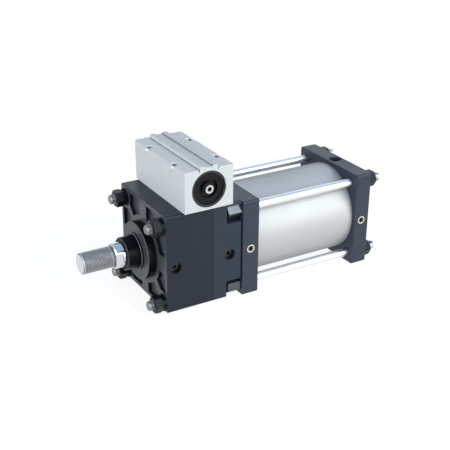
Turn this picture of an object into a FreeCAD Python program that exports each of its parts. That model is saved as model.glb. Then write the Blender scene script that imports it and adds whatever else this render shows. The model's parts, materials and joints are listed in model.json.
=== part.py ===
import FreeCAD
import Part
import Sketcher
import math
import operator
import os
from FreeCAD import Placement, Rotation, Vector

# Locking pneumatic cylinder. X runs along the rod, which comes out towards -X; the lock's front face
# is the plane X = 0 and the rod's axis is the X axis. -Y is the near side, +Z is up. Millimetres.

SIZES = (
    ("bore", 125, "cylinder bore"),
    ("stroke", 125, "working stroke"),
    ("piston_len", 33.5, "length of the piston"),
    ("end_gap", 0.25, "gap left between the piston and each cover at the end of its stroke"),
    ("rod_dia", 36, "piston rod"),
    ("rod_reach", 96, "rod tip ahead of the lock's front face when retracted"),
    ("rod_thread_step", 3, "rod's step down to its thread"),
    ("rod_thread_len", 47, "length of that thread"),
    ("rod_flat_deep", 2.5, "depth of the spanner flats"),
    ("rod_flat_len", 11, "length of the spanner flats"),
    ("rod_seat_step", 4, "rod's step down to its end inside the piston"),
    ("nut_thread_step", 5, "rod's step down to the piston nut's thread"),
    ("cover_margin", 15, "tie rods from the covers' sides"),
    ("cover_len", 26, "thickness of a cover"),
    ("cover_corner", 3, "rounding of the covers' corners"),
    ("tube_wall", 4, "wall of the cylinder tube"),
    ("tube_seat", 2, "how far the tube enters each cover"),
    ("gasket_len", 1, "thickness of the tube gaskets"),
    ("spigot_len", 5, "cover spigot inside the tube"),
    ("seal_len", 8, "rod seal"),
    ("seal_band", 6, "radial width of the rod seal"),
    ("bush_len", 8, "rod bush in the cover"),
    ("bush_wall", 3, "wall of the rod bush"),
    ("cushion_wall", 6, "front cushion ring proud of the rod"),
    ("cushion_len", 10, "length of the front cushion ring"),
    ("spear_wall", 3, "piston nut, the rear cushion spear, proud of the rod"),
    ("spear_len", 15, "length of the piston nut"),
    ("cushion_room", 1, "radial room round a cushion ring in its pocket"),
    ("cushion_seal_len", 4, "width of a cushion seal"),
    ("cushion_seal_deep", 2.5, "depth of its groove"),
    ("port_dia", 18.6, "air ports in the covers"),
    ("port_len", 18, "depth of their thread"),
    ("passage_dia", 5, "air passage from a port to its cushion pocket"),
    ("needle_drop", 1, "cushion needles below the rod's axis"),
    ("needle_bush_dia", 12, "bush round a cushion needle"),
    ("needle_bush_len", 8, "length of that bush"),
    ("needle_dia", 9, "cushion needle"),
    ("needle_len", 20, "length of the needle"),
    ("needle_key", 5, "hexagon socket in the needle"),
    ("tie_inset", 10, "tie rod square less than the bore"),
    ("tie_rod_dia", 12.7, "plain stretch of a tie rod, the pitch diameter of its threads"),
    ("stud_dia", 14, "outside of a lock stud's thread ahead of its nut"),
    ("tie_thread_dia", 13.6, "outside of a tie rod's rolled thread behind its nut"),
    ("stud_reach", 24, "stud ends ahead of the lock"),
    ("rear_reach", 25, "tie rod ends behind the head cover"),
    ("nut_across", 22, "across the flats of nuts and couplings"),
    ("nut_len", 11, "height of a nut"),
    ("washer_dia", 25, "washers"),
    ("washer_len", 2.5, "washer thickness"),
    ("spring_washer_dia", 22.6, "split spring washers under the front nuts"),
    ("spring_washer_len", 3, "thickness of a spring washer"),
    ("spring_washer_turn", 353, "degrees that a spring washer goes round before its split"),
    ("coupling_len", 22, "tie rod coupling"),
    ("lock_margin", 12.5, "studs from the lock's sides"),
    ("lock_head", 5, "extra height of the lock above its studs"),
    ("lock_corner", 3, "rounding of the lock's long edges"),
    ("split_inset", 14.5, "joint between the housings ahead of the chamber's back wall"),
    ("lock_len", 116, "length of the lock"),
    ("lock_gap", 2, "open gap between lock and rod cover"),
    ("face_depth", 5.5, "pockets in the lock's front face"),
    ("face_rim", 6, "rim round those pockets"),
    ("face_rib", 20, "upright rib between them"),
    ("face_bar", 26, "level rib between them"),
    ("corner_rib", 10, "ribs from the hub to the corners"),
    ("corner_pad", 32, "pads under the stud nuts"),
    ("hub_wall", 7.5, "hub round the pilot disc"),
    ("pilot_wall", 23.5, "pilot disc proud of the rod"),
    ("pilot_len", 13, "height of the pilot disc"),
    ("nose_wall", 5.5, "wall of the gland's nose"),
    ("nose_reach", 34.5, "nose ahead of the lock's front face"),
    ("gland_wall", 4, "wall of the gland's shank"),
    ("gland_sink", 6, "gland's shank short of the brake chamber"),
    ("wiper_band", 3, "radial width of the wiper"),
    ("wiper_len", 5.5, "wiper's seat in the nose"),
    ("gland_bush_wall", 2.5, "wall of the gland bush"),
    ("gland_bush_len", 30, "length of that bush"),
    ("cavity_front", 40, "front wall of the brake chamber"),
    ("back_wall", 5, "wall between the brake chamber and the coupling notches"),
    ("cavity_wall", 10, "studs from the brake chamber"),
    ("cavity_floor", 10, "floor under the brake chamber"),
    ("notch_room", 3, "room ahead of a coupling in its notch"),
    ("notch_size", 26, "side of a coupling notch"),
    ("seat_ring_wall", 16, "ring on which the lock bears on the rod cover"),
    ("plug_dia", 17, "side plugs"),
    ("plug_len", 6, "length of a side plug"),
    ("plug_sink", 5, "side plugs below the lock's side"),
    ("plug_drop", 3, "side plugs below the rod's axis"),
    ("plug_front", 13.7, "front side plugs"),
    ("plug_inset", 18.1, "rear side plugs from the lock's back"),
    ("plug_key", 6, "hexagon socket in a side plug"),
    ("block_shift", 1, "release block ahead of the brake chamber's middle"),
    ("block_side", 13.7, "release block past its bore on each side"),
    ("block_proud", 4.3, "release block past each side of the lock"),
    ("block_wall", 3.2, "block above and below its end caps"),
    ("rail_width", 27.4, "rail on the release block"),
    ("rail_height", 4, "height of the rail"),
    ("rail_slot_width", 12, "channel along the rail"),
    ("rail_slot_depth", 2, "depth of that channel"),
    ("rail_groove_width", 1.6, "narrow groove on each side of the rail"),
    ("rail_groove_depth", 3, "depth of those grooves"),
    ("block_bore", 46, "bore of the release block"),
    ("release_port_dia", 11.8, "release port"),
    ("bolt_dia", 8, "release block bolts"),
    ("bolt_head_dia", 13, "their heads"),
    ("bolt_head_len", 8, "height of a head"),
    ("bolt_sink", 9.5, "depth of the counterbores"),
    ("bolt_edge", 4.5, "bolts from the block's long faces"),
    ("bolt_spread", 76, "bolts apart along Y"),
    ("bolt_grip", 14, "bolt thread in the lock"),
    ("cap_step", 3, "step from the bore to an end cap's seat"),
    ("cap_len", 10, "thickness of a cap"),
    ("cap_recess", 3, "cap below the block's end"),
    ("cap_dish_dia", 28, "dish in the cap's face"),
    ("cap_dish_depth", 3.5, "depth of that dish"),
    ("cap_hub_dia", 18, "hub in the dish"),
    ("ring_len", 2, "retaining ring"),
    ("ring_deep", 1.2, "depth of its groove"),
    ("ring_band", 4.5, "radial width of the retaining ring"),
    ("ring_turn", 335, "how far the open retaining ring reaches round, in degrees"),
    ("o_ring_wire", 2.4, "section of the cap seals"),
    ("release_travel", 4, "release piston travel"),
    ("release_start", 8, "inner face of a release piston from the middle"),
    ("release_skirt", 8, "release piston past its arm's tip"),
    ("release_crown", 12, "solid end of a release piston"),
    ("spring_step", 9, "brake spring inside the bore"),
    ("spring_wire", 4, "spring wire"),
    ("spring_turns", 5, "turns of a spring"),
    ("piston_seal_len", 4, "width of a piston seal"),
    ("piston_seal_deep", 3, "depth of a piston seal"),
    ("screw_head_dia", 12, "release screw's head"),
    ("screw_head_len", 6, "height of that head"),
    ("screw_sink", 3, "depth to which the head sits in the hub"),
    ("screw_dia", 8, "release screw"),
    ("screw_grip", 5, "release screw in its piston when the lock is on"),
    ("screw_well", 10, "tapped hole in a release piston"),
    ("screw_key", 6, "hexagon socket in the release screw"),
    ("arm_side", 9, "brake arm from each end of its chamber, on average"),
    ("arm_room", 5.5, "room outside a brake arm"),
    ("arm_thick", 12, "thickness of an arm"),
    ("tip_thick", 9, "thickness of an arm's tip"),
    ("tip_grip", 6, "how far a tip stands in its release piston"),
    ("pivot_room", 12, "arm pivots above the chamber's floor"),
    ("pivot_dia", 12, "pivot pins"),
    ("pivot_boss_dia", 20, "arm's boss round its pin"),
    ("pivot_seat", 10, "pivot pin in each housing"),
    ("shoe_side", 5, "brake shoe from each end of its chamber, on average"),
    ("shoe_height", 46, "brake shoe along Z"),
    ("shoe_open", 0.64, "gap between the shoes as a share of the rod's diameter"),
    ("wear_ring_len", 10, "wear ring"),
    ("wear_ring_deep", 2.5, "depth of the wear ring"),
    ("run_gap", 0.05, "radial running clearance"),
    ("fit_gap", 0.03, "radial clearance of a fixed fit"),
    ("loose_gap", 0.3, "clearance of bolts, tips and sockets"),
    ("free_gap", 1, "clearance where nothing touches"),
    ("edge_break", 1.5, "chamfer on turned ends"),
    ("cast_edge", 0.8, "chamfer round housings and covers"),
    ("cast_fillet", 2, "fillet in the corners of the front face's pockets"),
    ("collar_band", 3, "collar at the root of the gland's nose"),
    ("collar_len", 3, "length of that collar"),
)

doc = FreeCAD.newDocument("locking_cylinder")
cells = doc.addObject("Spreadsheet::Sheet", "dims")
for line, (alias, number, meaning) in enumerate(SIZES, start=1):
    cells.set(f"A{line}", meaning)
    cells.set(f"B{line}", str(number))
    cells.setAlias(f"B{line}", alias)
doc.recompute()

SIGNS = {"+": operator.add, "-": operator.sub, "*": operator.mul, "/": operator.truediv}


class Term:
    """A length: its value now, and the expression that keeps it tied to the sheet."""

    def __init__(self, value, text):
        self.value = value
        self.text = text

    def __add__(self, other):
        return joined(self, "+", other)

    def __radd__(self, other):
        return joined(other, "+", self)

    def __sub__(self, other):
        return joined(self, "-", other)

    def __rsub__(self, other):
        return joined(other, "-", self)

    def __mul__(self, other):
        return joined(self, "*", other)

    def __rmul__(self, other):
        return joined(other, "*", self)

    def __truediv__(self, other):
        return joined(self, "/", other)

    def __neg__(self):
        return joined(0, "-", self)


def as_term(length):
    return length if isinstance(length, Term) else Term(float(length), repr(float(length)))


def joined(left, sign, right):
    left, right = as_term(left), as_term(right)
    return Term(SIGNS[sign](left.value, right.value), f"({left.text} {sign} {right.text})")


class Sizes:
    """The sheet's sizes by alias."""

    def __getattr__(self, alias):
        return Term(float(cells.get(alias)), "dims." + alias)


S = Sizes()


def bind(thing, path, length):
    thing.setExpression(path, as_term(length).text)


class Drawing:
    """A sketch on one of a body's own planes, with every point held by the sheet."""

    def __init__(self, body, plane, shift=(0, 0, 0)):
        self.sketch = body.newObject("Sketcher::SketchObject", body.Name + "_sketch")
        self.sketch.AttachmentSupport = (origin_feature(body, plane), [""])
        self.sketch.MapMode = "FlatFace"
        for letter, length in zip("xyz", shift):
            bind(self.sketch, f"AttachmentOffset.Base.{letter}", length)

    def hold(self, *items):
        length = as_term(items[-1])
        number = self.sketch.addConstraint(Sketcher.Constraint(*items[:-1], length.value))
        self.sketch.setExpression(f"Constraints[{number}]", length.text)

    def pin(self, shape, end, point):
        self.hold("DistanceX", -1, 1, shape, end, point[0])
        self.hold("DistanceY", -1, 1, shape, end, point[1])

    def line(self, start, end):
        ends = [Vector(as_term(a).value, as_term(b).value, 0) for a, b in (start, end)]
        return self.sketch.addGeometry(Part.LineSegment(*ends))

    def outline(self, points):
        following = points[1:] + points[:1]
        lines = [self.line(a, b) for a, b in zip(points, following)]
        for this, after in zip(lines, lines[1:] + lines[:1]):
            self.sketch.addConstraint(Sketcher.Constraint("Coincident", this, 2, after, 1))
        for shape, point in zip(lines, points):
            self.pin(shape, 1, point)
        return self

    def box(self, left, right, low, high):
        return self.outline([(left, low), (right, low), (right, high), (left, high)])

    def rounded_box(self, left, right, low, high, radius):
        sides = (
            ((left + radius, low), (right - radius, low)),
            ((right, low + radius), (right, high - radius)),
            ((right - radius, high), (left + radius, high)),
            ((left, high - radius), (left, low + radius)),
        )
        middles = (
            (right - radius, low + radius),
            (right - radius, high - radius),
            (left + radius, high - radius),
            (left + radius, low + radius),
        )
        lines = [self.line(*side) for side in sides]
        for shape, side in zip(lines, sides):
            self.pin(shape, 1, side[0])
            self.pin(shape, 2, side[1])
        for turn, (a, b) in enumerate(middles):
            ring = Part.Circle(Vector(a.value, b.value, 0), Vector(0, 0, 1), radius.value)
            start = (turn - 1) * math.pi / 2
            arc = self.sketch.addGeometry(Part.ArcOfCircle(ring, start, start + math.pi / 2))
            following = lines[(turn + 1) % len(lines)]
            self.sketch.addConstraint(Sketcher.Constraint("Coincident", lines[turn], 2, arc, 1))
            self.sketch.addConstraint(Sketcher.Constraint("Coincident", arc, 2, following, 1))
            self.hold("Radius", arc, radius)
        return self

    def circle(self, a, b, radius):
        middle = Vector(as_term(a).value, as_term(b).value, 0)
        ring = self.sketch.addGeometry(Part.Circle(middle, Vector(0, 0, 1), radius.value))
        self.pin(ring, 3, (a, b))
        self.hold("Radius", ring, radius)
        return self

    def hexagon(self, a, b, across):
        half, side, point = across / 2, across / (2 * math.sqrt(3)), across / math.sqrt(3)
        corners = [(point, 0), (side, half), (-side, half), (-point, 0), (-side, -half), (side, -half)]
        return self.outline([(a + x, b + y) for x, y in corners])


def origin_feature(body, role):
    return next(feature for feature in body.Origin.OriginFeatures if feature.Role == role)


nodes = []


class Piece:
    """A rigid piece: one body, or several equal solids that share its name."""

    def __init__(self, label):
        self.body = doc.addObject("PartDesign::Body", label)
        self.body.Label = label
        self.body.AllowCompound = True
        nodes.append(self.body)

    def draw(self, plane, shift=0):
        shift = shift if isinstance(shift, tuple) else (0, 0, shift)
        return Drawing(self.body, plane, shift)

    def feature(self, kind, drawing, **settings):
        before = self.body.Shape.Volume if self.body.Shape.Solids else 0
        step = self.body.newObject("PartDesign::" + kind, f"{self.body.Name}_{kind.lower()}")
        step.Profile = drawing.sketch
        for name, setting in settings.items():
            if isinstance(setting, Term):
                bind(step, name, setting)
            else:
                setattr(step, name, setting)
        doc.recompute()
        after = self.body.Shape.Volume
        takes_away = kind in ("Pocket", "Groove")
        if (after >= before) if takes_away else (after <= before):
            raise RuntimeError(f"{step.Name} changes nothing")
        return step

    def pad(self, drawing, length, forward=True):
        return self.feature("Pad", drawing, Length=as_term(length), Reversed=not forward)

    def pocket(self, drawing, depth, forward=True):
        return self.feature("Pocket", drawing, Length=as_term(depth), Reversed=forward)

    def revolve(self, drawing, axis="H_Axis", turn=360):
        return self.feature("Revolution", drawing, ReferenceAxis=(drawing.sketch, [axis]), Angle=turn)

    def groove(self, drawing, axis="H_Axis"):
        return self.feature("Groove", drawing, ReferenceAxis=(drawing.sketch, [axis]), Angle=360)

    def repeat(self, steps, *rows):
        """Repeat steps along axes, each row an axis and a distance, or mirror them in a plane."""
        pattern = self.body.newObject("PartDesign::MultiTransform", self.body.Name + "_pattern")
        pattern.Originals = steps
        moves = []
        for role, distance in rows:
            mirrored = distance is None
            kind = "Mirrored" if mirrored else "LinearPattern"
            move = self.body.newObject("PartDesign::" + kind, f"{self.body.Name}_{role}")
            if mirrored:
                move.MirrorPlane = (origin_feature(self.body, role), [""])
            else:
                move.Direction = (origin_feature(self.body, role), [""])
                move.Occurrences = 2
                bind(move, "Length", distance)
            moves.append(move)
        pattern.Transformations = moves
        self.body.Tip = pattern
        doc.recompute()

    def soften(self, kind, size, picks):
        """Fillet or chamfer the edges that a test picks."""
        edges = enumerate(self.body.Shape.Edges, start=1)
        names = [f"Edge{number}" for number, edge in edges if picks(edge)]
        base = self.body.Tip
        step = self.body.newObject("PartDesign::" + kind, f"{self.body.Name}_{kind.lower()}")
        step.Base = (base, names)
        bind(step, "Radius" if kind == "Fillet" else "Size", size)
        doc.recompute()
        if step.Shape.isNull() or not step.Shape.isValid():
            raise RuntimeError(f"{step.Name} did not build")

    def place(self, point, turn=0):
        self.body.Placement = Placement(Vector(0, 0, 0), Rotation(Vector(0, 0, 1), turn))
        for letter, length in zip("xyz", point):
            bind(self.body, f"Placement.Base.{letter}", length)


def turned(label, *outlines):
    """A piece turned about the X axis from outlines of (x, radius) points."""
    piece = Piece(label)
    drawing = piece.draw("XY_Plane")
    for outline in outlines:
        drawing.outline(outline)
    piece.revolve(drawing)
    return piece


def ring(front, back, inner, outer):
    return [(front, inner), (back, inner), (back, outer), (front, outer)]


# Square of the tie rods, and the outlines that follow it.
tie_pitch = S.bore - S.tie_inset
corner = tie_pitch / 2
half_cover = corner + S.cover_margin
half_lock = corner + S.lock_margin
lock_rise = half_lock + S.lock_head
tube_outer = S.bore / 2 + S.tube_wall

# Places along X.
cover_front = S.lock_len + S.lock_gap
tube_front = cover_front + S.cover_len
tube_len = S.stroke + S.piston_len + 2 * S.spigot_len + 2 * S.end_gap
tube_back = tube_front + tube_len
head_back = tube_back + S.cover_len
chamber_front = tube_front + S.spigot_len
chamber_back = tube_back - S.spigot_len
piston_back = chamber_back - S.end_gap
piston_front = piston_back - S.piston_len
cushion_front = piston_front - S.cushion_len
coupling_front = cover_front - S.coupling_len
notch_front = coupling_front - S.notch_room
cavity_back = notch_front - S.back_wall
cavity_len = cavity_back - S.cavity_front
lock_split = cavity_back - S.split_inset
gland_back = S.cavity_front - S.gland_sink
plug_back = S.lock_len - S.plug_inset

# Radii of what the rod carries and of what lies round it.
rod_radius = S.rod_dia / 2
thread_radius = rod_radius - S.rod_thread_step
seat_radius = rod_radius - S.rod_seat_step
nut_thread_radius = rod_radius - S.nut_thread_step
cushion_radius = rod_radius + S.cushion_wall
spear_radius = rod_radius + S.spear_wall
seal_radius = rod_radius + S.seal_band
bush_radius = rod_radius + S.bush_wall
wiper_radius = rod_radius + S.wiper_band
gland_bush_radius = rod_radius + S.gland_bush_wall
gland_radius = rod_radius + S.gland_wall
nose_radius = rod_radius + S.nose_wall
pilot_radius = rod_radius + S.pilot_wall
seat_ring_radius = rod_radius + S.seat_ring_wall

# Brake arms in their chamber.
cavity_half = corner - S.cavity_wall
cavity_drop = half_lock - S.cavity_floor
tip_out = cavity_half - S.arm_room
tip_in = tip_out - S.tip_thick
arm_in = tip_out - S.arm_thick
arm_width = cavity_len - 2 * S.arm_side
pivot_out = tip_out - S.arm_thick / 2
pivot_drop = cavity_drop - S.pivot_room
shoe_width = cavity_len - 2 * S.shoe_side
shoe_in = rod_radius * S.shoe_open

# Release block and what stands in it.
bore_radius = S.block_bore / 2
cap_radius = bore_radius + S.cap_step
block_height = 2 * (cap_radius + S.block_wall)
block_mid = (S.cavity_front + cavity_back) / 2 - S.block_shift
block_front = block_mid - bore_radius - S.block_side
block_back = block_mid + bore_radius + S.block_side
block_top = lock_rise + block_height
block_axis = lock_rise + block_height / 2
block_end = half_lock + S.block_proud
cap_out = block_end - S.cap_recess
cap_in = cap_out - S.cap_len
spring_radius = bore_radius - S.spring_step
tip_top = block_axis - bore_radius + S.tip_grip
bolt_front = block_front + S.bolt_edge
bolt_back = block_back - S.bolt_edge
SIDES = (("near", -1), ("far", 1))


def near_to(first, second):
    return abs(first - as_term(second).value) < 1e-4


def in_plane(edge, x):
    return near_to(edge.BoundBox.XMin, x) and near_to(edge.BoundBox.XMax, x)


def on_outline(edge, x, rounding, half, low, high):
    """True for the edges of a rounded block's outline in the plane of one of its ends."""
    point = edge.valueAt((edge.FirstParameter + edge.LastParameter) / 2)
    outside = rounding.value + 1e-4
    sideways = abs(point.y) > half.value - outside
    upright = point.z > high.value - outside or point.z < low.value + outside
    return in_plane(edge, x) and (sideways or upright)


def is_rim(edge, x, radius):
    round_edge = hasattr(edge.Curve, "Radius")
    return round_edge and in_plane(edge, x) and near_to(edge.Curve.Radius, radius)


def corners(drawing, radius):
    for side in (-1, 1):
        for level in (-1, 1):
            drawing.circle(side * corner, level * corner, radius)
    return drawing


def drill_top(piece, x):
    drawing = piece.draw("XY_Plane", lock_rise)
    for side in (-1, 1):
        drawing.circle(x, side * S.bolt_spread / 2, S.bolt_dia / 2 + S.fit_gap)
    piece.pocket(drawing, S.bolt_grip, forward=False)


def drill_sides(piece, x):
    for side in (-1, 1):
        drawing = piece.draw("XZ_Plane", side * half_lock)
        drawing.circle(x, -S.plug_drop, S.plug_dia / 2)
        piece.pocket(drawing, S.plug_sink + S.plug_len, forward=side < 0)


def drill_pivots(piece, x, forward):
    drawing = piece.draw("YZ_Plane", x)
    for side in (-1, 1):
        drawing.circle(side * pivot_out, -pivot_drop, S.pivot_dia / 2 + S.fit_gap)
    piece.pocket(drawing, S.pivot_seat, forward)


def cut_cavity(piece, depth, forward):
    drawing = piece.draw("YZ_Plane", lock_split)
    drawing.box(-cavity_half, cavity_half, -cavity_drop, lock_rise + S.free_gap)
    piece.pocket(drawing, depth, forward)


def front_housing():
    piece = Piece("front_housing")
    block = piece.draw("YZ_Plane")
    block.rounded_box(-half_lock, half_lock, -half_lock, lock_rise, S.lock_corner)
    piece.pad(block, lock_split)

    # The face is dished inside its rim, and the hub, pads and ribs stand up from the dish.
    rim = S.face_rim
    inside = (-half_lock + rim, half_lock - rim, -half_lock + rim, lock_rise - rim)
    piece.pocket(piece.draw("YZ_Plane").box(*inside), S.face_depth)
    half_rim = rim / 2
    reach = (-half_lock + half_rim, half_lock - half_rim, -half_lock + half_rim, lock_rise - half_rim)
    hub = piece.draw("YZ_Plane", S.face_depth).circle(0, 0, pilot_radius + S.hub_wall)
    rib = piece.draw("YZ_Plane", S.face_depth).box(-S.face_rib / 2, S.face_rib / 2, reach[2], reach[3])
    bar = piece.draw("YZ_Plane", S.face_depth).box(reach[0], reach[1], -S.face_bar / 2, S.face_bar / 2)
    pads = piece.draw("YZ_Plane", S.face_depth)
    pad_in = corner - S.corner_pad / 2
    for left, right in ((reach[0], -pad_in), (pad_in, reach[1])):
        for low, high in ((reach[2], -pad_in), (pad_in, reach[3])):
            pads.box(left, right, low, high)
    raised = [hub, rib, bar, pads]
    skew = S.corner_rib / math.sqrt(8)
    for lean in (-1, 1):
        slant = piece.draw("YZ_Plane", S.face_depth)
        ends = (
            (-corner - skew, -corner + skew),
            (-corner + skew, -corner - skew),
            (corner + skew, corner - skew),
            (corner - skew, corner + skew),
        )
        raised.append(slant.outline([(lean * a, b) for a, b in ends]))
    for drawing in raised:
        piece.pad(drawing, S.face_depth, forward=False)

    def in_pocket_corner(edge):
        box = edge.BoundBox
        along = near_to(box.XMin, 0) and near_to(box.XMax, S.face_depth)
        return along and near_to(box.YLength, 0) and near_to(box.ZLength, 0)

    piece.soften("Fillet", S.cast_fillet, in_pocket_corner)
    outline = (S.lock_corner, half_lock, -half_lock, lock_rise)
    piece.soften("Chamfer", S.cast_edge, lambda edge: on_outline(edge, 0, *outline))
    piece.pad(piece.draw("YZ_Plane").circle(0, 0, pilot_radius), S.pilot_len, forward=False)
    piece.soften("Chamfer", S.cast_edge, lambda edge: is_rim(edge, -S.pilot_len, pilot_radius))

    gland_hole = piece.draw("YZ_Plane", -S.pilot_len).circle(0, 0, gland_radius + S.fit_gap)
    piece.pocket(gland_hole, S.pilot_len + S.cavity_front)
    cut_cavity(piece, lock_split - S.cavity_front, forward=False)
    piece.pocket(corners(piece.draw("YZ_Plane"), S.stud_dia / 2 + S.loose_gap), lock_split)
    drill_pivots(piece, S.cavity_front, forward=False)
    drill_top(piece, bolt_front)
    drill_sides(piece, S.plug_front)


def rear_housing():
    piece = Piece("rear_housing")
    block = piece.draw("YZ_Plane", lock_split)
    block.rounded_box(-half_lock, half_lock, -half_lock, lock_rise, S.lock_corner)
    piece.pad(block, S.lock_len - lock_split)
    piece.pad(piece.draw("YZ_Plane", S.lock_len).circle(0, 0, seat_ring_radius), S.lock_gap)
    cut_cavity(piece, cavity_back - lock_split, forward=True)
    rod_hole = piece.draw("YZ_Plane", lock_split).circle(0, 0, rod_radius + S.free_gap)
    piece.pocket(rod_hole, cover_front - lock_split)
    studs = corners(piece.draw("YZ_Plane", lock_split), S.stud_dia / 2 + S.loose_gap)
    piece.pocket(studs, S.lock_len - lock_split)

    # A notch round each coupling: the upper ones keep a strip above them, the lower ones are open below.
    notch = piece.draw("YZ_Plane", S.lock_len)
    notch_in = corner - S.notch_size / 2
    notch_out = half_lock + S.free_gap
    levels = ((notch_in, notch_in + S.notch_size), (-half_lock - S.free_gap, -notch_in))
    for low, high in levels:
        notch.box(-notch_out, -notch_in, low, high)
        notch.box(notch_in, notch_out, low, high)
    piece.pocket(notch, S.lock_len - notch_front, forward=False)
    drill_pivots(piece, cavity_back, forward=True)
    drill_top(piece, bolt_back)
    drill_sides(piece, plug_back)


def cover(label, front, inner_face, inward, pocket_radius, pocket_len):
    """A square cover with its spigot, tube groove, cushion pocket, port and needle seat."""
    piece = Piece(label)
    slab = piece.draw("YZ_Plane", front)
    slab.rounded_box(-half_cover, half_cover, -half_cover, half_cover, S.cover_corner)
    piece.pad(slab, S.cover_len)
    outline = (S.cover_corner, half_cover, -half_cover, half_cover)
    for face in (front, front + S.cover_len):
        piece.soften("Chamfer", S.cast_edge, lambda edge: on_outline(edge, face, *outline))
    spigot_radius = S.bore / 2 - S.fit_gap
    piece.pad(piece.draw("YZ_Plane", inner_face).circle(0, 0, spigot_radius), S.spigot_len, inward)
    seat = piece.draw("YZ_Plane", inner_face)
    seat.circle(0, 0, tube_outer + S.fit_gap).circle(0, 0, spigot_radius)
    piece.pocket(seat, S.tube_seat + S.gasket_len, not inward)
    piece.pocket(corners(piece.draw("YZ_Plane", front), S.tie_thread_dia / 2 + S.loose_gap), S.cover_len)

    sign = 1 if inward else -1
    mouth = inner_face + sign * S.spigot_len
    piece.pocket(piece.draw("YZ_Plane", mouth).circle(0, 0, pocket_radius), pocket_len, not inward)
    groove_near = mouth - sign * S.cushion_seal_len / 2
    groove_far = groove_near - sign * S.cushion_seal_len
    groove = piece.draw("XY_Plane")
    groove.outline(ring(groove_near, groove_far, pocket_radius - S.free_gap, pocket_radius + S.cushion_seal_deep))
    piece.groove(groove)

    middle = front + S.cover_len / 2
    port = piece.draw("XY_Plane", half_cover).circle(middle, 0, S.port_dia / 2)
    piece.pocket(port, S.port_len, forward=False)
    passage_x = inner_face - sign * S.cover_len / 4
    passage = piece.draw("XY_Plane", half_cover).circle(passage_x, 0, S.passage_dia / 2)
    piece.pocket(passage, half_cover - pocket_radius + S.free_gap, forward=False)

    bush = piece.draw("XZ_Plane", half_cover)
    bush.circle(middle, -S.needle_drop, S.needle_bush_dia / 2 + S.fit_gap)
    piece.pocket(bush, S.needle_bush_len, forward=False)
    needle = piece.draw("XZ_Plane", half_cover)
    needle.circle(middle, -S.needle_drop, S.needle_dia / 2 + S.run_gap)
    piece.pocket(needle, S.needle_len + S.free_gap, forward=False)
    return piece


def covers():
    front_pocket = cushion_radius + S.cushion_room
    front_pocket_len = chamber_front - cover_front - S.seal_len - S.bush_len
    rod_cover = cover("rod_cover", cover_front, tube_front, True, front_pocket, front_pocket_len)
    seal_seat = rod_cover.draw("YZ_Plane", cover_front).circle(0, 0, seal_radius + S.fit_gap)
    rod_cover.pocket(seal_seat, S.seal_len)
    bush_seat = rod_cover.draw("YZ_Plane", cover_front).circle(0, 0, bush_radius + S.fit_gap)
    rod_cover.pocket(bush_seat, S.seal_len + S.bush_len)
    rear_pocket = spear_radius + S.cushion_room
    rear_pocket_len = S.spigot_len + S.cover_len - S.seal_len
    cover("head_cover", tube_back, tube_back, False, rear_pocket, rear_pocket_len)
    seal_rings = []
    for mouth, sign, radius in ((chamber_front, -1, cushion_radius), (chamber_back, 1, spear_radius)):
        first = mouth + sign * S.cushion_seal_len / 2
        last = first + sign * S.cushion_seal_len
        outer = radius + S.cushion_room + S.cushion_seal_deep - S.fit_gap
        seal_rings.append(ring(first, last, radius + S.run_gap, outer))
    turned("cushion_seals", *seal_rings)


def tube_parts():
    turned("cylinder_tube", ring(tube_front - S.tube_seat, tube_back + S.tube_seat, S.bore / 2, tube_outer))
    front_face = tube_front - S.tube_seat
    back_face = tube_back + S.tube_seat
    turned(
        "tube_gaskets",
        ring(front_face - S.gasket_len, front_face, S.bore / 2, tube_outer),
        ring(back_face, back_face + S.gasket_len, S.bore / 2, tube_outer),
    )


def corner_turned(label, outline, turn=360):
    piece = Piece(label)
    drawing = piece.draw("XY_Plane", (0, -corner, -corner)).outline(outline)
    step = piece.revolve(drawing, turn=turn)
    piece.repeat([step], ("Y_Axis", tie_pitch), ("Z_Axis", tie_pitch))


def corner_hexagons(label, front, length):
    """Hexagons at the four corners, bored to the pitch diameter of the threads in them."""
    piece = Piece(label)
    drawing = piece.draw("YZ_Plane", front).hexagon(-corner, -corner, S.nut_across)
    drawing.circle(-corner, -corner, S.tie_rod_dia / 2 + S.fit_gap)
    step = piece.pad(drawing, length)
    piece.repeat([step], ("Y_Axis", tie_pitch), ("Z_Axis", tie_pitch))


def threaded_bar(thread_dia, tip, cut, nut_face, far):
    """Outline of a bar: full thread from its chamfered tip to the nut, pitch diameter from the nut on."""
    thread = thread_dia / 2
    pitch = S.tie_rod_dia / 2
    return [
        (tip, 0),
        (tip, thread - S.edge_break),
        (tip + cut, thread),
        (nut_face, thread),
        (nut_face, pitch),
        (far, pitch),
        (far, 0),
    ]


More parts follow.
